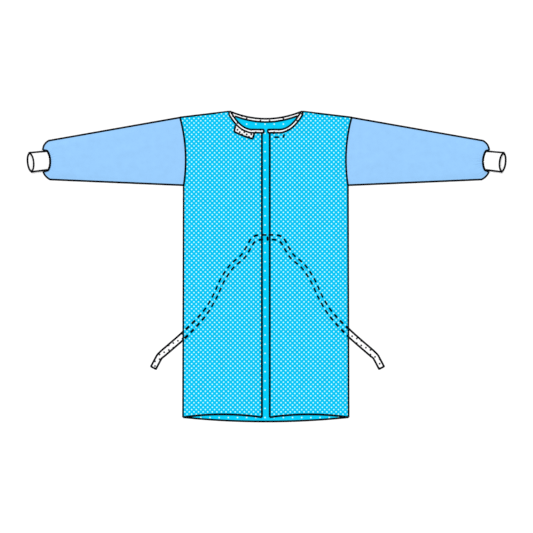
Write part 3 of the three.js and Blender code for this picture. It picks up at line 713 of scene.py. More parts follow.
def body_seams(side):
    """The side seam, the armhole seam and the shoulder seam."""

    def side_seam(w):
        y = mix(SIDE_HEM_Y, UNDERARM_Y, w)
        x = side * half_width(y)
        return (x, y, front_height(x, y) + SEAM_TALL / 2)

    def armhole_seam(w):
        y = mix(UNDERARM_Y, SHOULDER_Y, w)
        return (side * armhole_x(y), y, ARMHOLE_SEAM_Z)

    def shoulder_seam(w):
        x = side * mix(NECK_X + SHOULDER_SEAM_START, SHOULDER_X, w)
        y = shoulder_y(x)
        return (x, y + SHOULDER_SEAM_OUT, front_height(x, y) + SEAM_TALL / 2)

    return [side_seam, armhole_seam, shoulder_seam]


for side, word in SIDES:
    panel = sheet_of(
        "back_cloth_" + word, BACK_CELLS, lambda u, w: back_point(side, u, w),
        [PRINTED_CLOTH, INSIDE_CLOTH], WALL, 1, "back_" + word, "body_cloth", marks=True,
    )
    edge = thread_piece("back_cloth_" + word + "_edge_thread", back_edges(side))
    seam = thread_piece("body_seam_thread_" + word, body_seams(side), wide=SEAM_WIDE, tall=SEAM_TALL)


# ---------------------------------------------------------------- neck binding
# White woven tape folded over the neck edge and stitched along both of its edges with dark thread.
# It runs round the front neck and each back half, and closes on itself past the opening edges.

BIND_END_X = 0.008
BIND_END_ROUND = 0.004
BIND_SHOULDER_X = 0.1435
BIND_TURN = 0.95
BIND_STRAIGHT = 0.35
BIND_TALL = 2 * TAPE + WALL + 2 * LAYER_GAP
FRONT_BIND_END_X = 0.1305
FRONT_BIND_CLEAR = 0.001
FRONT_BIND_CELLS = (24, 90)
BACK_BIND_CELLS = (24, 80)
BIND_CLOSER = 1.5
BIND_EASE = 0.15
BIND_END_THREAD_SHARE = 0.004
BIND_THREAD_WIDE = 0.0069
BACK_THREADS_IN = {"straight": (0.0022, 0.0004), "bent": (0.0014, 0.0024)}
FRONT_FOLD_THREAD_IN = 0.0013
FRONT_LEG_THREAD_IN = 0.0014
FRONT_LEG_THREAD_BEND = 0.0016
FRONT_LEG_REACH = 0.119
BIND_THREAD_TALL = 0.0018
BIND_THREAD_PROUD = 0.0003

TAPE_WHITE = (0.95, 0.95, 0.955, 1)
TAPE_SPECK = (0.01, 0.01, 0.012, 1)
SPECK_PITCH = 0.01765
SPECK_SOFT = 0.0005
SPECK_SHARE = 0.95
WEAVE_PITCH = 0.0011
TAPE_RELIEF_SHARE = 0.8
SPECK_SHIFT = (0.003, -0.0053, 0)


def tape_finish(name, speck_radius, stretch, shift, bump):
    """White woven tape with dark specks, and a fine weave across and along it."""
    material, tree, shader, place = finish(name, roughness=0.8, specular=0.15)
    specks = dots(tree, place, SPECK_PITCH, speck_radius, SPECK_SOFT, 1.0, shift, stretch)
    weave = effect(tree, BONDED_CLOTH, {"Place": place, "Bond pitch": WEAVE_PITCH})
    colour = colour_mix(tree, maths(tree, "MULTIPLY", specks, SPECK_SHARE), TAPE_WHITE, TAPE_SPECK)
    paint(tree, shader, colour, weave["Tone"], low=0.95, high=1.04)
    relief(tree, shader, weave["Height"], bump, TAPE_RELIEF_SHARE)
    return material


WHITE_TAPE = tape_finish("white_tape", speck_radius=0.0038, stretch=2.0, shift=SPECK_SHIFT, bump=0.0002)


def bind_section(share, width, upper):
    """Distance in from the fold and height of the folded tape, once round from leg to leg."""
    leg = 0.44
    round_r = BIND_TALL / 2
    if share < leg:
        return mix(width, round_r, share / leg), 0.0
    if share > 1 - leg:
        return mix(upper, round_r, (1 - share) / leg), BIND_TALL
    turn = math.pi * (share - leg) / (1 - 2 * leg)
    return round_r - round_r * math.sin(turn), round_r - round_r * math.cos(turn)


def front_bind_point(u, w):
    x = mix(-FRONT_BIND_END_X, FRONT_BIND_END_X, w)
    shows = front_neck_y(x) - back_neck_y(x) - FRONT_BIND_CLEAR
    inward, z = bind_section(u, BIND_WIDTH, min(BIND_WIDTH, shows))
    return Vector((x, front_neck_y(x) - inward, z))


def bent_binding(t):
    """Fold line and free edge on the bent part: a tape width apart up to the turn at the shoulder."""
    def bend(a, b, c):
        return (1 - t) ** 2 * a + 2 * t * (1 - t) * b + t * t * c

    fold = (bend(BACK_NECK_FLAT_X, BACK_NECK_PULL_X, NECK_X), bend(BACK_NECK_Y, BACK_NECK_Y, NECK_Y))
    if t > BIND_TURN:
        part = (t - BIND_TURN) / (1 - BIND_TURN)
        corner = (BIND_SHOULDER_X, shoulder_y(BIND_SHOULDER_X))
        return fold, between(bent_binding(BIND_TURN)[1], corner, part)
    run = mix(BACK_NECK_PULL_X - BACK_NECK_FLAT_X, NECK_X - BACK_NECK_PULL_X, t)
    rise = t * (NECK_Y - BACK_NECK_Y)
    reach = BIND_WIDTH / math.hypot(run, rise)
    return fold, (fold[0] + rise * reach, fold[1] - run * reach)


def back_bind_lines(share):
    """Fold line and free edge of the back binding, at a share of its length."""
    if share < BIND_STRAIGHT:
        x = mix(BIND_END_X, BACK_NECK_FLAT_X, (share / BIND_STRAIGHT) ** BIND_CLOSER)
        short = max(BIND_END_ROUND - (x - BIND_END_X), 0) / BIND_END_ROUND
        cut = BIND_END_ROUND * (1 - math.sqrt(1 - short * short))
        return (x, BACK_NECK_Y - cut), (x, BACK_NECK_Y - BIND_WIDTH + cut)
    return bent_binding((share - BIND_STRAIGHT) / (1 - BIND_STRAIGHT))


def back_bind_place(side, share, inward_share, z):
    x, y = between(*back_bind_lines(share), inward_share)
    return Vector((side * x, y, front_height(side * x, y) + LAYER_LIFT + z))


def back_bind_point(side, u, w):
    width = math.dist(*back_bind_lines(w))
    inward, z = bind_section(u, width, width)
    return back_bind_place(side, w, inward / width, z)


def back_bind_threads(side):
    """The four rows of stitches: along the fold, along the free edge and across both ends."""
    height = BIND_TALL + BIND_THREAD_PROUD

    def inset(w, row):
        bent = soft((w - BIND_STRAIGHT) / BIND_EASE)
        return mix(BACK_THREADS_IN["straight"][row], BACK_THREADS_IN["bent"][row], bent) / BIND_WIDTH

    return [
        lambda w: back_bind_place(side, w, inset(w, 0), height),
        lambda w: back_bind_place(side, w, 1 - inset(w, 1), height),
        lambda w: back_bind_place(side, BIND_END_THREAD_SHARE, w, height),
        lambda w: back_bind_place(side, 1, w, height),
    ]


def front_fold_line(w):
    x = mix(-NECK_X, NECK_X, w)
    return (x, front_neck_y(x) - FRONT_FOLD_THREAD_IN, BIND_TALL + BIND_THREAD_PROUD)


def front_leg_line(w):
    x = mix(-FRONT_LEG_REACH, FRONT_LEG_REACH, w)
    inset = FRONT_LEG_THREAD_IN + FRONT_LEG_THREAD_BEND * (x / FRONT_LEG_REACH) ** 2
    return (x, front_neck_y(x) - BIND_WIDTH + inset, BIND_TALL + BIND_THREAD_PROUD)


front_binding = sheet_of(
    "binding_front", FRONT_BIND_CELLS, front_bind_point, [WHITE_TAPE], TAPE, -1,
    "neck_binding_front", "white_tape",
)
front_bind_thread = thread_piece(
    "binding_front_thread", [front_fold_line, front_leg_line], wide=BIND_THREAD_WIDE, tall=BIND_THREAD_TALL
)
for side, word in SIDES:
    back_binding = sheet_of(
        "binding_back_" + word, BACK_BIND_CELLS, lambda u, w: back_bind_point(side, u, w),
        [WHITE_TAPE], TAPE, -1, "neck_binding_" + word, "white_tape", turned_out=side < 0,
    )
    back_bind_thread = thread_piece(
        "binding_back_thread_" + word, back_bind_threads(side), wide=BIND_THREAD_WIDE, tall=BIND_THREAD_TALL
    )


# ---------------------------------------------------------------- closure tabs
# Hook-and-loop closure. The white loop tab is stitched on the outside of the left half under the
# binding; the hook tab is stitched under the right half, where only its stitches come through.

LOOP_TAB = {
    "outer_low": (0.1217, 0.5189),
    "inner_low": (0.0504, 0.4918),
    "inner_high": (0.0443, 0.5137),
    "outer_high": (0.1167, 0.5434),
}
LOOP_TAB_BOW = 0.0023
HOOK_TAB = {"inner": 0.022, "outer": 0.0668, "bottom": 0.4975, "slant_x": 0.0048, "slant_y": 0.0108}
TAB_WALL = 0.001
TAB_CELLS = (26, 8)
TAB_CLEAR = 0.0004
TAB_LIFT = 0.0001
HOOK_CLEAR = 0.0003
EDGE_HALVINGS = 24
STITCH_WIDE = 0.0075
STITCH_TALL = 0.0012
STITCH_BLUNT = 0.6
HOOK_STITCHES = [
    ((0.0312, 0.4977), (0.0524, 0.4977)),
    ((0.0668, 0.4945), (0.0711, 0.5100)),
    ((0.0265, 0.5125), (0.0340, 0.5125)),
]

LOOP_TAPE = tape_finish("loop_tape", speck_radius=0.0041, stretch=1.0, shift=PRINT_SHIFT, bump=0.0004)


def bind_edge_y(x):
    """Height of the back binding's free edge at a distance x from the middle."""
    if abs(x) < BACK_NECK_FLAT_X:
        return BACK_NECK_Y - BIND_WIDTH
    low, high = 0.0, 1.0
    for _ in range(EDGE_HALVINGS):
        t = (low + high) / 2
        if bent_binding(t)[1][0] < abs(x):
            low = t
        else:
            high = t
    return bent_binding(low)[1][1]


def loop_tab_point(u, w):
    low_x, low_y = between(LOOP_TAB["outer_low"], LOOP_TAB["inner_low"], u)
    low_y -= LOOP_TAB_BOW * arch(u)
    high_x, high_y = between(LOOP_TAB["outer_high"], LOOP_TAB["inner_high"], u)
    high_y = min(high_y, bind_edge_y(high_x) - TAB_CLEAR)
    x, y = between((-low_x, low_y), (-high_x, high_y), w)
    return Vector((x, y, back_height(x, y) + WALL + TAB_LIFT))


def hook_tab_point(u, w):
    y = mix(HOOK_TAB["bottom"], BACK_NECK_Y - BIND_WIDTH - HOOK_CLEAR, w)
    lean = HOOK_TAB["slant_x"] * u * min((y - HOOK_TAB["bottom"]) / HOOK_TAB["slant_y"], 1)
    x = mix(HOOK_TAB["inner"], HOOK_TAB["outer"], u) + lean
    return Vector((x, y, front_height(x, y) + LAYER_LIFT))


def loop_edge(u, w):
    x, y, z = loop_tab_point(u, w)
    return (x, y, z + TAB_WALL)


loop_tab = sheet_of(
    "loop_tab_tape", TAB_CELLS, loop_tab_point, [LOOP_TAPE], TAB_WALL, 1, "loop_tab", "closure_tape"
)
loop_thread = thread_piece(
    "loop_tab_thread",
    [lambda w: loop_edge(0, 1 - w), lambda w: loop_edge(w, 0), lambda w: loop_edge(1, w)],
    wide=STITCH_WIDE,
    tall=BIND_THREAD_TALL,
)
hook_tab = sheet_of(
    "hook_tab_tape", TAB_CELLS, hook_tab_point, [LOOP_TAPE], TAPE, 1, "hook_tab", "closure_tape"
)


def stitch(mesh, line, wide, tall):
    """One long stitch that comes up through the cloth and lies along a line."""
    start, end = Vector(line(0)), Vector(line(1))
    ahead = end - start
    turn = math.atan2(ahead.y, ahead.x)
    made = bmesh.ops.create_uvsphere(mesh, u_segments=16, v_segments=10, radius=0.5)
    for vert in made["verts"]:
        x, y, z = vert.co
        x = math.copysign(abs(2 * x) ** STITCH_BLUNT, x) * ahead.length / 2
        vert.co = (start + end) / 2 + Vector((
            x * math.cos(turn) - y * wide * math.sin(turn),
            x * math.sin(turn) + y * wide * math.cos(turn),
            z * tall,
        ))


def hook_stitch_line(start, end, w):
    x, y = between(start, end, w)
    return (x, y, back_height(x, y) + WALL + LAYER_GAP)


hook_stitches = bmesh.new()
for start, end in HOOK_STITCHES:
    stitch(hook_stitches, lambda w: hook_stitch_line(start, end, w), STITCH_WIDE, STITCH_TALL)
piece_of("hook_tab_stitches", hook_stitches, [EDGE_THREAD])


# ---------------------------------------------------------------- waist belt
# A white speckled tape, overlocked along both edges, tacked at its middle to the front and lying
# under the gown; its two free ends come out at the sides.

BELT_CELLS = (10, 560)
BELT_THREAD_Z = 0.0008
BELT_THREAD_WIDE = 0.0075
BELT_THREAD_TALL = 0.0014
BELT_THREAD_OUT = 0.0119
BELT_END_THREAD_OUT = 0.0108
BELT_END_THREAD_SHARE = 0.001
BELT_BEND = (0.40, 0.42)
BELT_FREE_X = 0.319
BELT_EDGE_LEAN = 0.0084
BELT_COVERED_OUT = 0.009
BELT_COVERED_Z = 0.00033
BELT_COVERED_WIDE = 0.006
BELT_COVERED_TALL = 0.0006
TACK_X = 0.0066
TACK_ENDS = (0.0985, 0.1165)
TACK_PROUD = 0.0004
TACK_WIDE = 0.0086
TACK_TALL = 0.0016


def belt_place(w, offset, z):
    out = BELT_END * (2 * w - 1)
    slope = course_rise(abs(out)) * (1 if out > 0 else -1)
    length = math.hypot(1, slope)
    x = BELT_MIDDLE_X + out - slope / length * offset
    y = course_y(abs(out)) + offset / length
    return Vector((x, y, z))


def belt_thread_out(w):
    """Distance of the edge thread from the belt's middle line, less where the end bends down."""
    bent = soft((abs(BELT_END * (2 * w - 1)) - BELT_BEND[0]) / (BELT_BEND[1] - BELT_BEND[0]))
    return mix(BELT_THREAD_OUT, BELT_END_THREAD_OUT, bent)


def belt_comes_out(side, edge):
    """Share of the belt's length at which one of its edges comes out past the side seam."""
    x = side * (BELT_FREE_X - edge * BELT_EDGE_LEAN)
    return (1 + (x - BELT_MIDDLE_X) / BELT_END) / 2


def free_thread(side, edge):
    start = belt_comes_out(side, edge)
    end = (1 + side) / 2

    def line(w):
        share = mix(start, end, w)
        return belt_place(share, edge * belt_thread_out(share), BELT_THREAD_Z)

    return line


def covered_thread(edge):
    start, end = belt_comes_out(-1, edge), belt_comes_out(1, edge)
    return lambda w: belt_place(mix(start, end, w), edge * BELT_COVERED_OUT, BELT_COVERED_Z)


def end_thread(share):
    return lambda w: belt_place(share, mix(-BELT_HALF, BELT_HALF, w), BELT_THREAD_Z)


belt = sheet_of(
    "belt_tape", BELT_CELLS, lambda u, w: belt_place(1 - w, mix(-BELT_HALF, BELT_HALF, u), 0.0),
    [WHITE_TAPE], TAPE, 1, "waist_belt", "white_tape",
)
belt_thread = thread_piece(
    "belt_edge_thread",
    [free_thread(side, edge) for side in (-1, 1) for edge in (1, -1)]
    + [end_thread(BELT_END_THREAD_SHARE), end_thread(1 - BELT_END_THREAD_SHARE)],
    wide=BELT_THREAD_WIDE,
    tall=BELT_THREAD_TALL,
)
covered = thread_piece(
    "belt_covered_thread",
    [covered_thread(1), covered_thread(-1)],
    wide=BELT_COVERED_WIDE,
    tall=BELT_COVERED_TALL,
)
tack = bmesh.new()
stitch(
    tack, lambda w: (TACK_X, mix(*TACK_ENDS, w), TAPE_LIFT + WALL + TACK_PROUD), TACK_WIDE, TACK_TALL
)
piece_of("belt_bar_tack", tack, [EDGE_THREAD])


# ---------------------------------------------------------------- sleeves
# Plain pale blue cloth, each sleeve one flattened tube set into the armhole. Its wide end is
# gathered onto the cuff, so it swells past the seam on both sides and runs into small pleats.

SLEEVE_TOP = (0.8355, 0.4841)
SLEEVE_UNDER = (0.830, 0.3355)
SLEEVE_BOW = 0.027
ARMHOLE_TALL = 0.0024
WRIST_TALL = 0.0056
HORN_SHARE = 0.125
HORN_TOP = {"x": 0.8578, "y": 0.4482, "bulge": (0.005, 0.003)}
HORN_UNDER = {"x": 0.8566, "y": 0.3649, "bulge": (0.0029, -0.0026)}
CUFF_SEAM_TOP = (0.8426, 0.4448)
CUFF_SEAM_UNDER = (0.8383, 0.3713)
CUFF_SEAM_BOW = 0.0102
CUFF_SEAM_FULL = 0.75
RIGHT_CUFF_PULLED = 0.006
HORN_FOLLOWS = 0.25
SEAM_EASE = 0.0003
SLEEVE_CELLS = (150, 132)
SLEEVE_PLAIN = 0.88
FOLD_SHARE = 0.03
SLEEVE_DOME = 0.0013
PLEATS = 15
PLEAT_HIGH = 0.0013
PLEAT_SHIFTS = (0.9, 0.5)
PLEAT_SHALLOW = 0.28
PLEAT_LONG = 0.10
PLEAT_LONG_VARIES = 0.45
PLEAT_STARTS = 0.06
PLEAT_FULL = 0.02
PLEAT_UNDER = 0.4
SLEEVE_ENDS_FLAT = (0.08, 0.2)
LEFT_FOLDS_LOWER = 0.012
SLEEVE_FOLD_TALL = 0.0016
SLEEVE_OPENS = 0.025
WRIST_THREAD_WIDE = 0.0084
WRIST_THREAD_TALL = 0.0018
WRIST_THREAD_PROUD = 0.0008
SLEEVE_THREAD_TALL = 0.0024
TUBE_WELD = 1e-7
SLEEVE_PALE = (0.289, 0.552, 0.89, 1)
SLEEVE_FOLDS = [
    (0.400, 0.395, 0.090, 0.016, 24, 0.0016),
    (0.385, 0.440, 0.070, 0.014, 8, 0.0011),
    (0.470, 0.470, 0.120, 0.020, -14, 0.0013),
    (0.600, 0.400, 0.130, 0.019, 6, 0.0014),
    (0.720, 0.440, 0.110, 0.015, -5, 0.0012),
]


def pale_cloth():
    """The same bonded cloth in plain pale blue."""
    material, tree, shader, place = finish("sleeve_cloth", roughness=0.88, specular=0.06)
    cloth = effect(tree, BONDED_CLOTH, {"Place": place})
    paint(tree, shader, SLEEVE_PALE, cloth["Tone"], low=0.96, high=1.04)
    relief(tree, shader, cloth["Height"], CLOTH_RELIEF, CLOTH_RELIEF_SHARE)
    return material


SLEEVE_CLOTH = pale_cloth()


def moved_in(under, top, radius):
    """The ends of a tube's flat walls, a fold's radius in from its fold lines."""
    span = math.dist(under, top)
    ex, ey = (top[0] - under[0]) / span * radius, (top[1] - under[1]) / span * radius
    return (under[0] + ex, under[1] + ey), (top[0] - ex, top[1] - ey)


def sleeve_ring(along):
    """Height of the tube and the ends of its flat walls at a share of its plain length."""
    tall = mix(ARMHOLE_TALL, WRIST_TALL, along * along)
    under = between((armhole_x(UNDERARM_Y), UNDERARM_Y), SLEEVE_UNDER, along)
    top = between((SHOULDER_X, SHOULDER_Y), SLEEVE_TOP, along)
    start, end = moved_in(under, top, SLEEVE_FOLD_TALL / 2)
    return tall, start, end


def plain_path(along, q):
    """Plan of the sleeve before its horns, q running from the fold under the arm to the top fold."""
    tall, start, end = sleeve_ring(along)
    x, y = between(start, end, q)
    inset = tall / 2 / (SHOULDER_Y - UNDERARM_Y)
    share = mix(inset, 1 - inset, q)
    near = armhole_x(mix(UNDERARM_Y, SHOULDER_Y, share)) - mix(armhole_x(UNDERARM_Y), SHOULDER_X, share)
    return x + mix(near, -SLEEVE_BOW * arch(q), along * along), y


def wrist_path(side, q):
    """Where the sleeve ends: along the cuff's side, round its seam and out along its other side."""
    pulled = RIGHT_CUFF_PULLED if side > 0 else 0
    seam_top = (CUFF_SEAM_TOP[0] - SEAM_EASE + pulled, CUFF_SEAM_TOP[1] + 2 * SEAM_EASE)
    seam_under = (CUFF_SEAM_UNDER[0] - SEAM_EASE + pulled, CUFF_SEAM_UNDER[1] - 2 * SEAM_EASE)
    near = min(q, 1 - q)
    if near < HORN_SHARE:
        upper = q > 0.5
        tip = HORN_TOP if upper else HORN_UNDER
        corner = seam_top if upper else seam_under
        tip_y = tip["y"] + (-1 if upper else 1) * SLEEVE_FOLD_TALL / 2
        share = near / HORN_SHARE
        return between((tip["x"] + pulled * HORN_FOLLOWS, tip_y), corner, share)
    r = (q - HORN_SHARE) / (1 - 2 * HORN_SHARE)
    x, y = between(seam_under, seam_top, r)
    return x - (CUFF_SEAM_BOW + SEAM_EASE) * arch(r) ** CUFF_SEAM_FULL, y


def sleeve_path(side, w, q):
    """Plan of a wall of the sleeve at a share w of its whole length."""
    if w <= SLEEVE_PLAIN:
        return plain_path(w / SLEEVE_PLAIN, q)
    share = (w - SLEEVE_PLAIN) / (1 - SLEEVE_PLAIN)
    x, y = between(plain_path(1, q), wrist_path(side, q), share)
    near = min(q, 1 - q)
    pull = max(1 - near / HORN_SHARE, 0) ** 2 * arch(share)
    bulge = (HORN_TOP if q > 0.5 else HORN_UNDER)["bulge"]
    return x + pull * bulge[0], y + pull * bulge[1]


def ripple(q, times, phase):
    return math.sin(2 * math.pi * times * q + phase)


def pleat_wave(q, side):
    """Pleats round the wrist, of uneven width and depth, none at the folds."""
    uneven = PLEAT_SHIFTS[0] * ripple(q, 3, side) + PLEAT_SHIFTS[1] * ripple(q, 5, 2)
    depth = 1 - PLEAT_SHALLOW + PLEAT_SHALLOW * ripple(q, 2.3, 1.3 * side)
    return depth * ripple(q, PLEATS, uneven) * math.sin(math.pi * q) ** 0.5


def pleat_reach(w, q, side):
    """How much of its height a pleat has at a share w of the sleeve; pleats are unlike in length."""
    length = PLEAT_LONG * (1 + PLEAT_LONG_VARIES * ripple(q, 7.3, 2.1 * side))
    return soft((w - (1 - length - PLEAT_STARTS)) / (length + PLEAT_FULL))


def sleeve_height(side, x, y, w, q, upper):
    """Height of the sleeve's upper or lower wall over the surface."""
    tall, start, end = sleeve_ring(min(w / SLEEVE_PLAIN, 1))
    open_share = arch(q)
    wave = pleat_wave(q, side) * pleat_reach(w, q, side) * PLEAT_HIGH
    if not upper:
        return max(wave, 0) * PLEAT_UNDER * soft(open_share)
    from_fold = min(q, 1 - q) * math.dist(start, end)
    tall = mix(SLEEVE_FOLD_TALL, tall, soft(from_fold / SLEEVE_OPENS))
    loose = soft(w / SLEEVE_ENDS_FLAT[0]) * soft((1 - w) / SLEEVE_ENDS_FLAT[1])
    dome = SLEEVE_DOME * open_share * math.sin(math.pi * min(w, 1)) ** 0.5
    folds = fold_height(SLEEVE_FOLDS, x, y + (LEFT_FOLDS_LOWER if side < 0 else 0))
    return tall + dome + folds * open_share * loose + wave


def tube_point(side, u, fold_share, ends, radius, swell, wall):
    """Point of a flattened tube, u running once round: upper wall, top fold, lower wall, under fold."""
    flat = 0.5 - fold_share
    upper = u % 1.0 < 0.5
    part = u % 1.0 if upper else u % 1.0 - 0.5
    if part < flat:
        x, y, z = wall(part / flat if upper else 1 - part / flat, upper)
        return Vector((side * x, y, z))
    turn = 1 if upper else -1
    angle = math.pi * (part - flat) / fold_share
    out = turn * swell * math.sin(angle) / math.dist(*ends)
    x, y, _ = wall(1 if upper else 0, upper)
    x += (ends[1][0] - ends[0][0]) * out
    y += (ends[1][1] - ends[0][1]) * out
    return Vector((side * x, y, radius + turn * radius * math.cos(angle)))


def sleeve_point(side, u, w):
    def wall(q, upper):
        x, y = sleeve_path(side, w, q)
        return x, y, sleeve_height(side, x, y, w, q, upper)

    ends = sleeve_ring(min(w / SLEEVE_PLAIN, 1))[1:]
    return tube_point(side, u, FOLD_SHARE, ends, SLEEVE_FOLD_TALL / 2, SLEEVE_FOLD_TALL / 2, wall)


def tube_piece(name, cells, place, material, wall, node, even=True):
    """A tube open at both ends: a grid joined to itself, with its wall laid inwards."""
    mesh = bmesh.new()
    verts = grid_of(mesh, *cells, place)
    bmesh.ops.remove_doubles(mesh, verts=verts, dist=TUBE_WELD)
    bmesh.ops.recalc_face_normals(mesh, faces=mesh.faces)
    piece = piece_of(name, mesh, [material], wall, -1, even=even)
    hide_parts(node)
    return piece


def fold_thread_and_shade(side, at, w):
    x, y, _ = sleeve_point(side, at, w)
    return (x, y, SLEEVE_THREAD_TALL / 2)


def wrist_thread(side, w):
    x, y = wrist_path(side, w)
    return (side * x, y, WRIST_TALL + pleat_wave(w, side) * PLEAT_HIGH + WRIST_THREAD_PROUD)


for side, word in SIDES:
    sleeve = tube_piece(
        "sleeve_cloth_" + word, SLEEVE_CELLS, lambda u, w: sleeve_point(side, u, w),
        SLEEVE_CLOTH, WALL, "sleeve_" + word,
    )
    # Dark thread runs along both folds; on the top fold, where the tube has no seam, it stands for the shade
    # at the fold: painted shade as a dark thread.
    middles = (0.5 - FOLD_SHARE / 2, 1 - FOLD_SHARE / 2)
    folds = thread_piece(
        "sleeve_fold_thread_and_shade_" + word,
        [lambda w, at=at: fold_thread_and_shade(side, at, w) for at in middles],
        tall=SLEEVE_THREAD_TALL,
    )
    wrist = thread_piece(
        "wrist_seam_thread_" + word,
        [lambda w: wrist_thread(side, w)],
        wide=WRIST_THREAD_WIDE,
        tall=WRIST_THREAD_TALL,
    )


# ---------------------------------------------------------------- cuffs
# Soft white rib-knit tubes. The mouth is cut aslant, so that from above the lower wall shows
# beyond the upper one; the mouth's rim is overlocked with dark thread.

CUFF_MOUTH_TOP = (0.9094, 0.4402)
CUFF_MOUTH_UNDER = (0.9009, 0.362)
CUFF_MOUTH_BACK = 0.0128
CUFF_MOUTH_OUT = 0.0114
CUFF_SEAM_TALL = 0.0058
CUFF_MOUTH_TALL = 0.010
KNIT = 0.0016
CUFF_CELLS = (360, 40)
CUFF_FOLD_SHARE = 2 * FOLD_SHARE
RIBS = 26
RIB_HIGH = 0.0003
RIB_EASE = 0.06
CUFF_THREAD_START = 0.03
CUFF_THREAD_LEAN = math.radians(31)
CUFF_THREAD_PROUD = 0.0006
RIM_THREAD_OUT = 0.003
RIM_LOWEST = 0.0014
CUFF_THREAD_WIDE = 0.0075
CUFF_THREAD_TALL = 0.003
FLUFF_SHARE = 0.6
KNIT_RELIEF = 0.0002
KNIT_RELIEF_SHARE = 0.6
KNIT_WHITE = (0.97, 0.97, 0.97, 1)


def knit_finish():
    """Rib knit: small staggered loops along each rib."""
    material, tree, shader, place = finish("cuff_knit", roughness=0.9, specular=0.15, sheen=0.15)
    loops = dots(tree, place, pitch=0.0014, radius=0.0005, softness=0.0003)
    fluff = noise(tree, place, scale=900.0, detail=3.0, roughness=0.6)
    height = maths(tree, "ADD", loops, maths(tree, "MULTIPLY", fluff, FLUFF_SHARE))
    paint(tree, shader, KNIT_WHITE, fluff, low=0.95, high=1.03)
    relief(tree, shader, height, KNIT_RELIEF, KNIT_RELIEF_SHARE)
    return material


CUFF_KNIT = knit_finish()
CUFF_SLOPE = (CUFF_MOUTH_TOP[1] + CUFF_MOUTH_UNDER[1] - CUFF_SEAM_TOP[1] - CUFF_SEAM_UNDER[1]) / (
    CUFF_MOUTH_TOP[0] + CUFF_MOUTH_UNDER[0] - CUFF_SEAM_TOP[0] - CUFF_SEAM_UNDER[0]
)


def cuff_point(side, u, w):
    pulled = RIGHT_CUFF_PULLED if side > 0 else 0
    tall = mix(CUFF_SEAM_TALL, CUFF_MOUTH_TALL, w)
    under = between(CUFF_SEAM_UNDER, CUFF_MOUTH_UNDER, w)
    start, end = moved_in(under, between(CUFF_SEAM_TOP, CUFF_MOUTH_TOP, w), tall / 2)
    ridge = abs(math.sin(math.pi * RIBS * 2 * (u % 1.0)))
    rib = RIB_HIGH * ridge * soft(w / RIB_EASE) * soft((1 - w) / RIB_EASE) - RIB_HIGH

    def wall(share, upper):
        q = (1 - math.cos(math.pi * share)) / 2
        round_share = max(arch(q), 0)
        seam = -(1 - w) * CUFF_SEAM_BOW * round_share ** CUFF_SEAM_FULL
        bow = w ** 3 * math.sqrt(round_share) * (-CUFF_MOUTH_BACK if upper else CUFF_MOUTH_OUT)
        x, y = between(start, end, q)
        return x + seam + bow + pulled, y + bow * CUFF_SLOPE, tall + rib if upper else 0.0

    return tube_point(side, u, CUFF_FOLD_SHARE, (start, end), tall / 2, tall / 2 + rib, wall)


def cuff_fold_shade_line(side, upward, w):
    """A cuff's folded side, where a dark thread stands for the fold's shade as painted shade: upward is 1 for
    its upper side and -1 for its lower one.
    """
    turn = CUFF_FOLD_SHARE * CUFF_THREAD_LEAN / math.pi
    at = 0.5 - CUFF_FOLD_SHARE + turn if upward > 0 else 1 - turn
    x, y, z = cuff_point(side, at, mix(CUFF_THREAD_START, 1, w))
    proud_y = upward * math.sin(CUFF_THREAD_LEAN) * CUFF_THREAD_PROUD
    return (x, y + proud_y, z + math.cos(CUFF_THREAD_LEAN) * CUFF_THREAD_PROUD)


def mouth_line(side, w):
    x, y, z = cuff_point(side, w, 1.0)
    return (x, y, max(z - KNIT / 2, RIM_LOWEST))


for side, word in SIDES:
    cuff = tube_piece(
        "cuff_knit_" + word, CUFF_CELLS, lambda u, w: cuff_point(side, u, w),
        CUFF_KNIT, KNIT, "cuff_" + word, even=False,
    )
    # A dark thread along each folded side of the knit tube, which has no seam there, stands for the shade of
    # the rounded fold: painted shade as a dark thread.
    fold_shade_mesh = bmesh.new()
    for upward in (1, -1):
        thread_line(
            fold_shade_mesh,
            lambda w: cuff_fold_shade_line(side, upward, w),
            wide=CUFF_THREAD_WIDE,
            tall=CUFF_THREAD_TALL,
            lean=(0, upward * math.sin(CUFF_THREAD_LEAN), math.cos(CUFF_THREAD_LEAN)),
        )
    bmesh.ops.recalc_face_normals(fold_shade_mesh, faces=fold_shade_mesh.faces)
    sides = piece_of("cuff_fold_shade_thread_" + word, fold_shade_mesh, [EDGE_THREAD])
    rim = thread_piece(
        "cuff_rim_thread_" + word,
        [lambda w: mouth_line(side, w)],
        wide=RIM_THREAD_OUT,
        tall=CUFF_THREAD_WIDE,
        closed=True,
        lean=(1, 0, 0),
        bumps=THREAD_WAVE,
    )


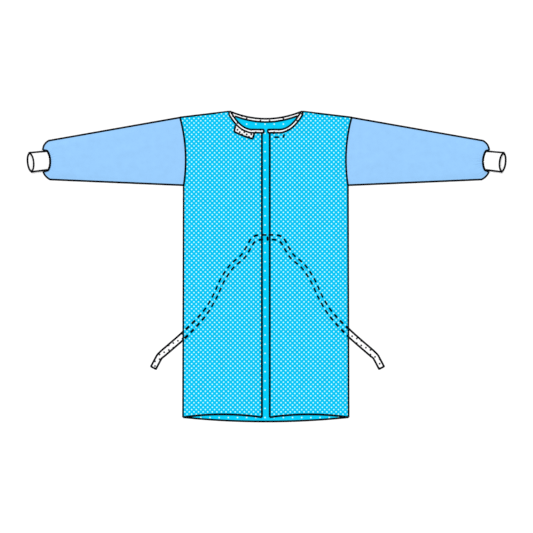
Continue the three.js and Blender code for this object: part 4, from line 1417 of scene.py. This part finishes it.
# ---------------------------------------------------------------- floor, light and camera
# A plain pale floor, an even sky of soft light with a broad lamp to one side, and a long lens
# straight above the gown.

FLOOR_HALF = 14.0
SKY_STRENGTH = 0.55
LAMP_STRENGTH = 2.06
LAMP_WIDTH = math.radians(35)
LAMP_TO_GOWN = Vector((0.32, -0.28, -0.9))
CAMERA_PLACE = (0.0027, 0.0001, 7.695)
CAMERA_LENS = 135
CAMERA_FILM = 36
CAMERA_REACH = 100
FLOOR_PALE = (0.95, 0.95, 0.955, 1)
floor_mesh = bmesh.new()
bmesh.ops.create_grid(floor_mesh, x_segments=1, y_segments=1, size=FLOOR_HALF)
floor_data = bpy.data.meshes.new("floor")
floor_mesh.to_mesh(floor_data)
floor_mesh.free()
floor = bpy.data.objects.new("floor", floor_data)
bpy.context.scene.collection.objects.link(floor)
floor_paint, floor_tree, floor_shader, floor_place = finish("floor_paint", roughness=0.9, specular=0.1)
floor_grain = noise(floor_tree, floor_place, scale=3.0, detail=2.0, roughness=0.5)
paint(floor_tree, floor_shader, FLOOR_PALE, floor_grain, low=0.995, high=1.005)
floor_data.materials.append(floor_paint)

sky = bpy.data.worlds.new("sky")
sky.use_nodes = True
sky.node_tree.nodes["Background"].inputs["Color"].default_value = (1, 1, 1, 1)
sky.node_tree.nodes["Background"].inputs["Strength"].default_value = SKY_STRENGTH
bpy.context.scene.world = sky
bpy.context.scene.view_settings.view_transform = "Standard"

lamp_data = bpy.data.lights.new("soft_lamp", "SUN")
lamp_data.angle = LAMP_WIDTH
lamp_data.energy = LAMP_STRENGTH
lamp = bpy.data.objects.new("soft_lamp", lamp_data)
lamp.rotation_euler = LAMP_TO_GOWN.to_track_quat("-Z", "Y").to_euler()
bpy.context.scene.collection.objects.link(lamp)

camera_data = bpy.data.cameras.new("camera")
camera_data.lens = CAMERA_LENS
camera_data.sensor_width = CAMERA_FILM
camera_data.clip_end = CAMERA_REACH
camera = bpy.data.objects.new("camera", camera_data)
camera.location = CAMERA_PLACE
bpy.context.scene.collection.objects.link(camera)
bpy.context.scene.camera = camera
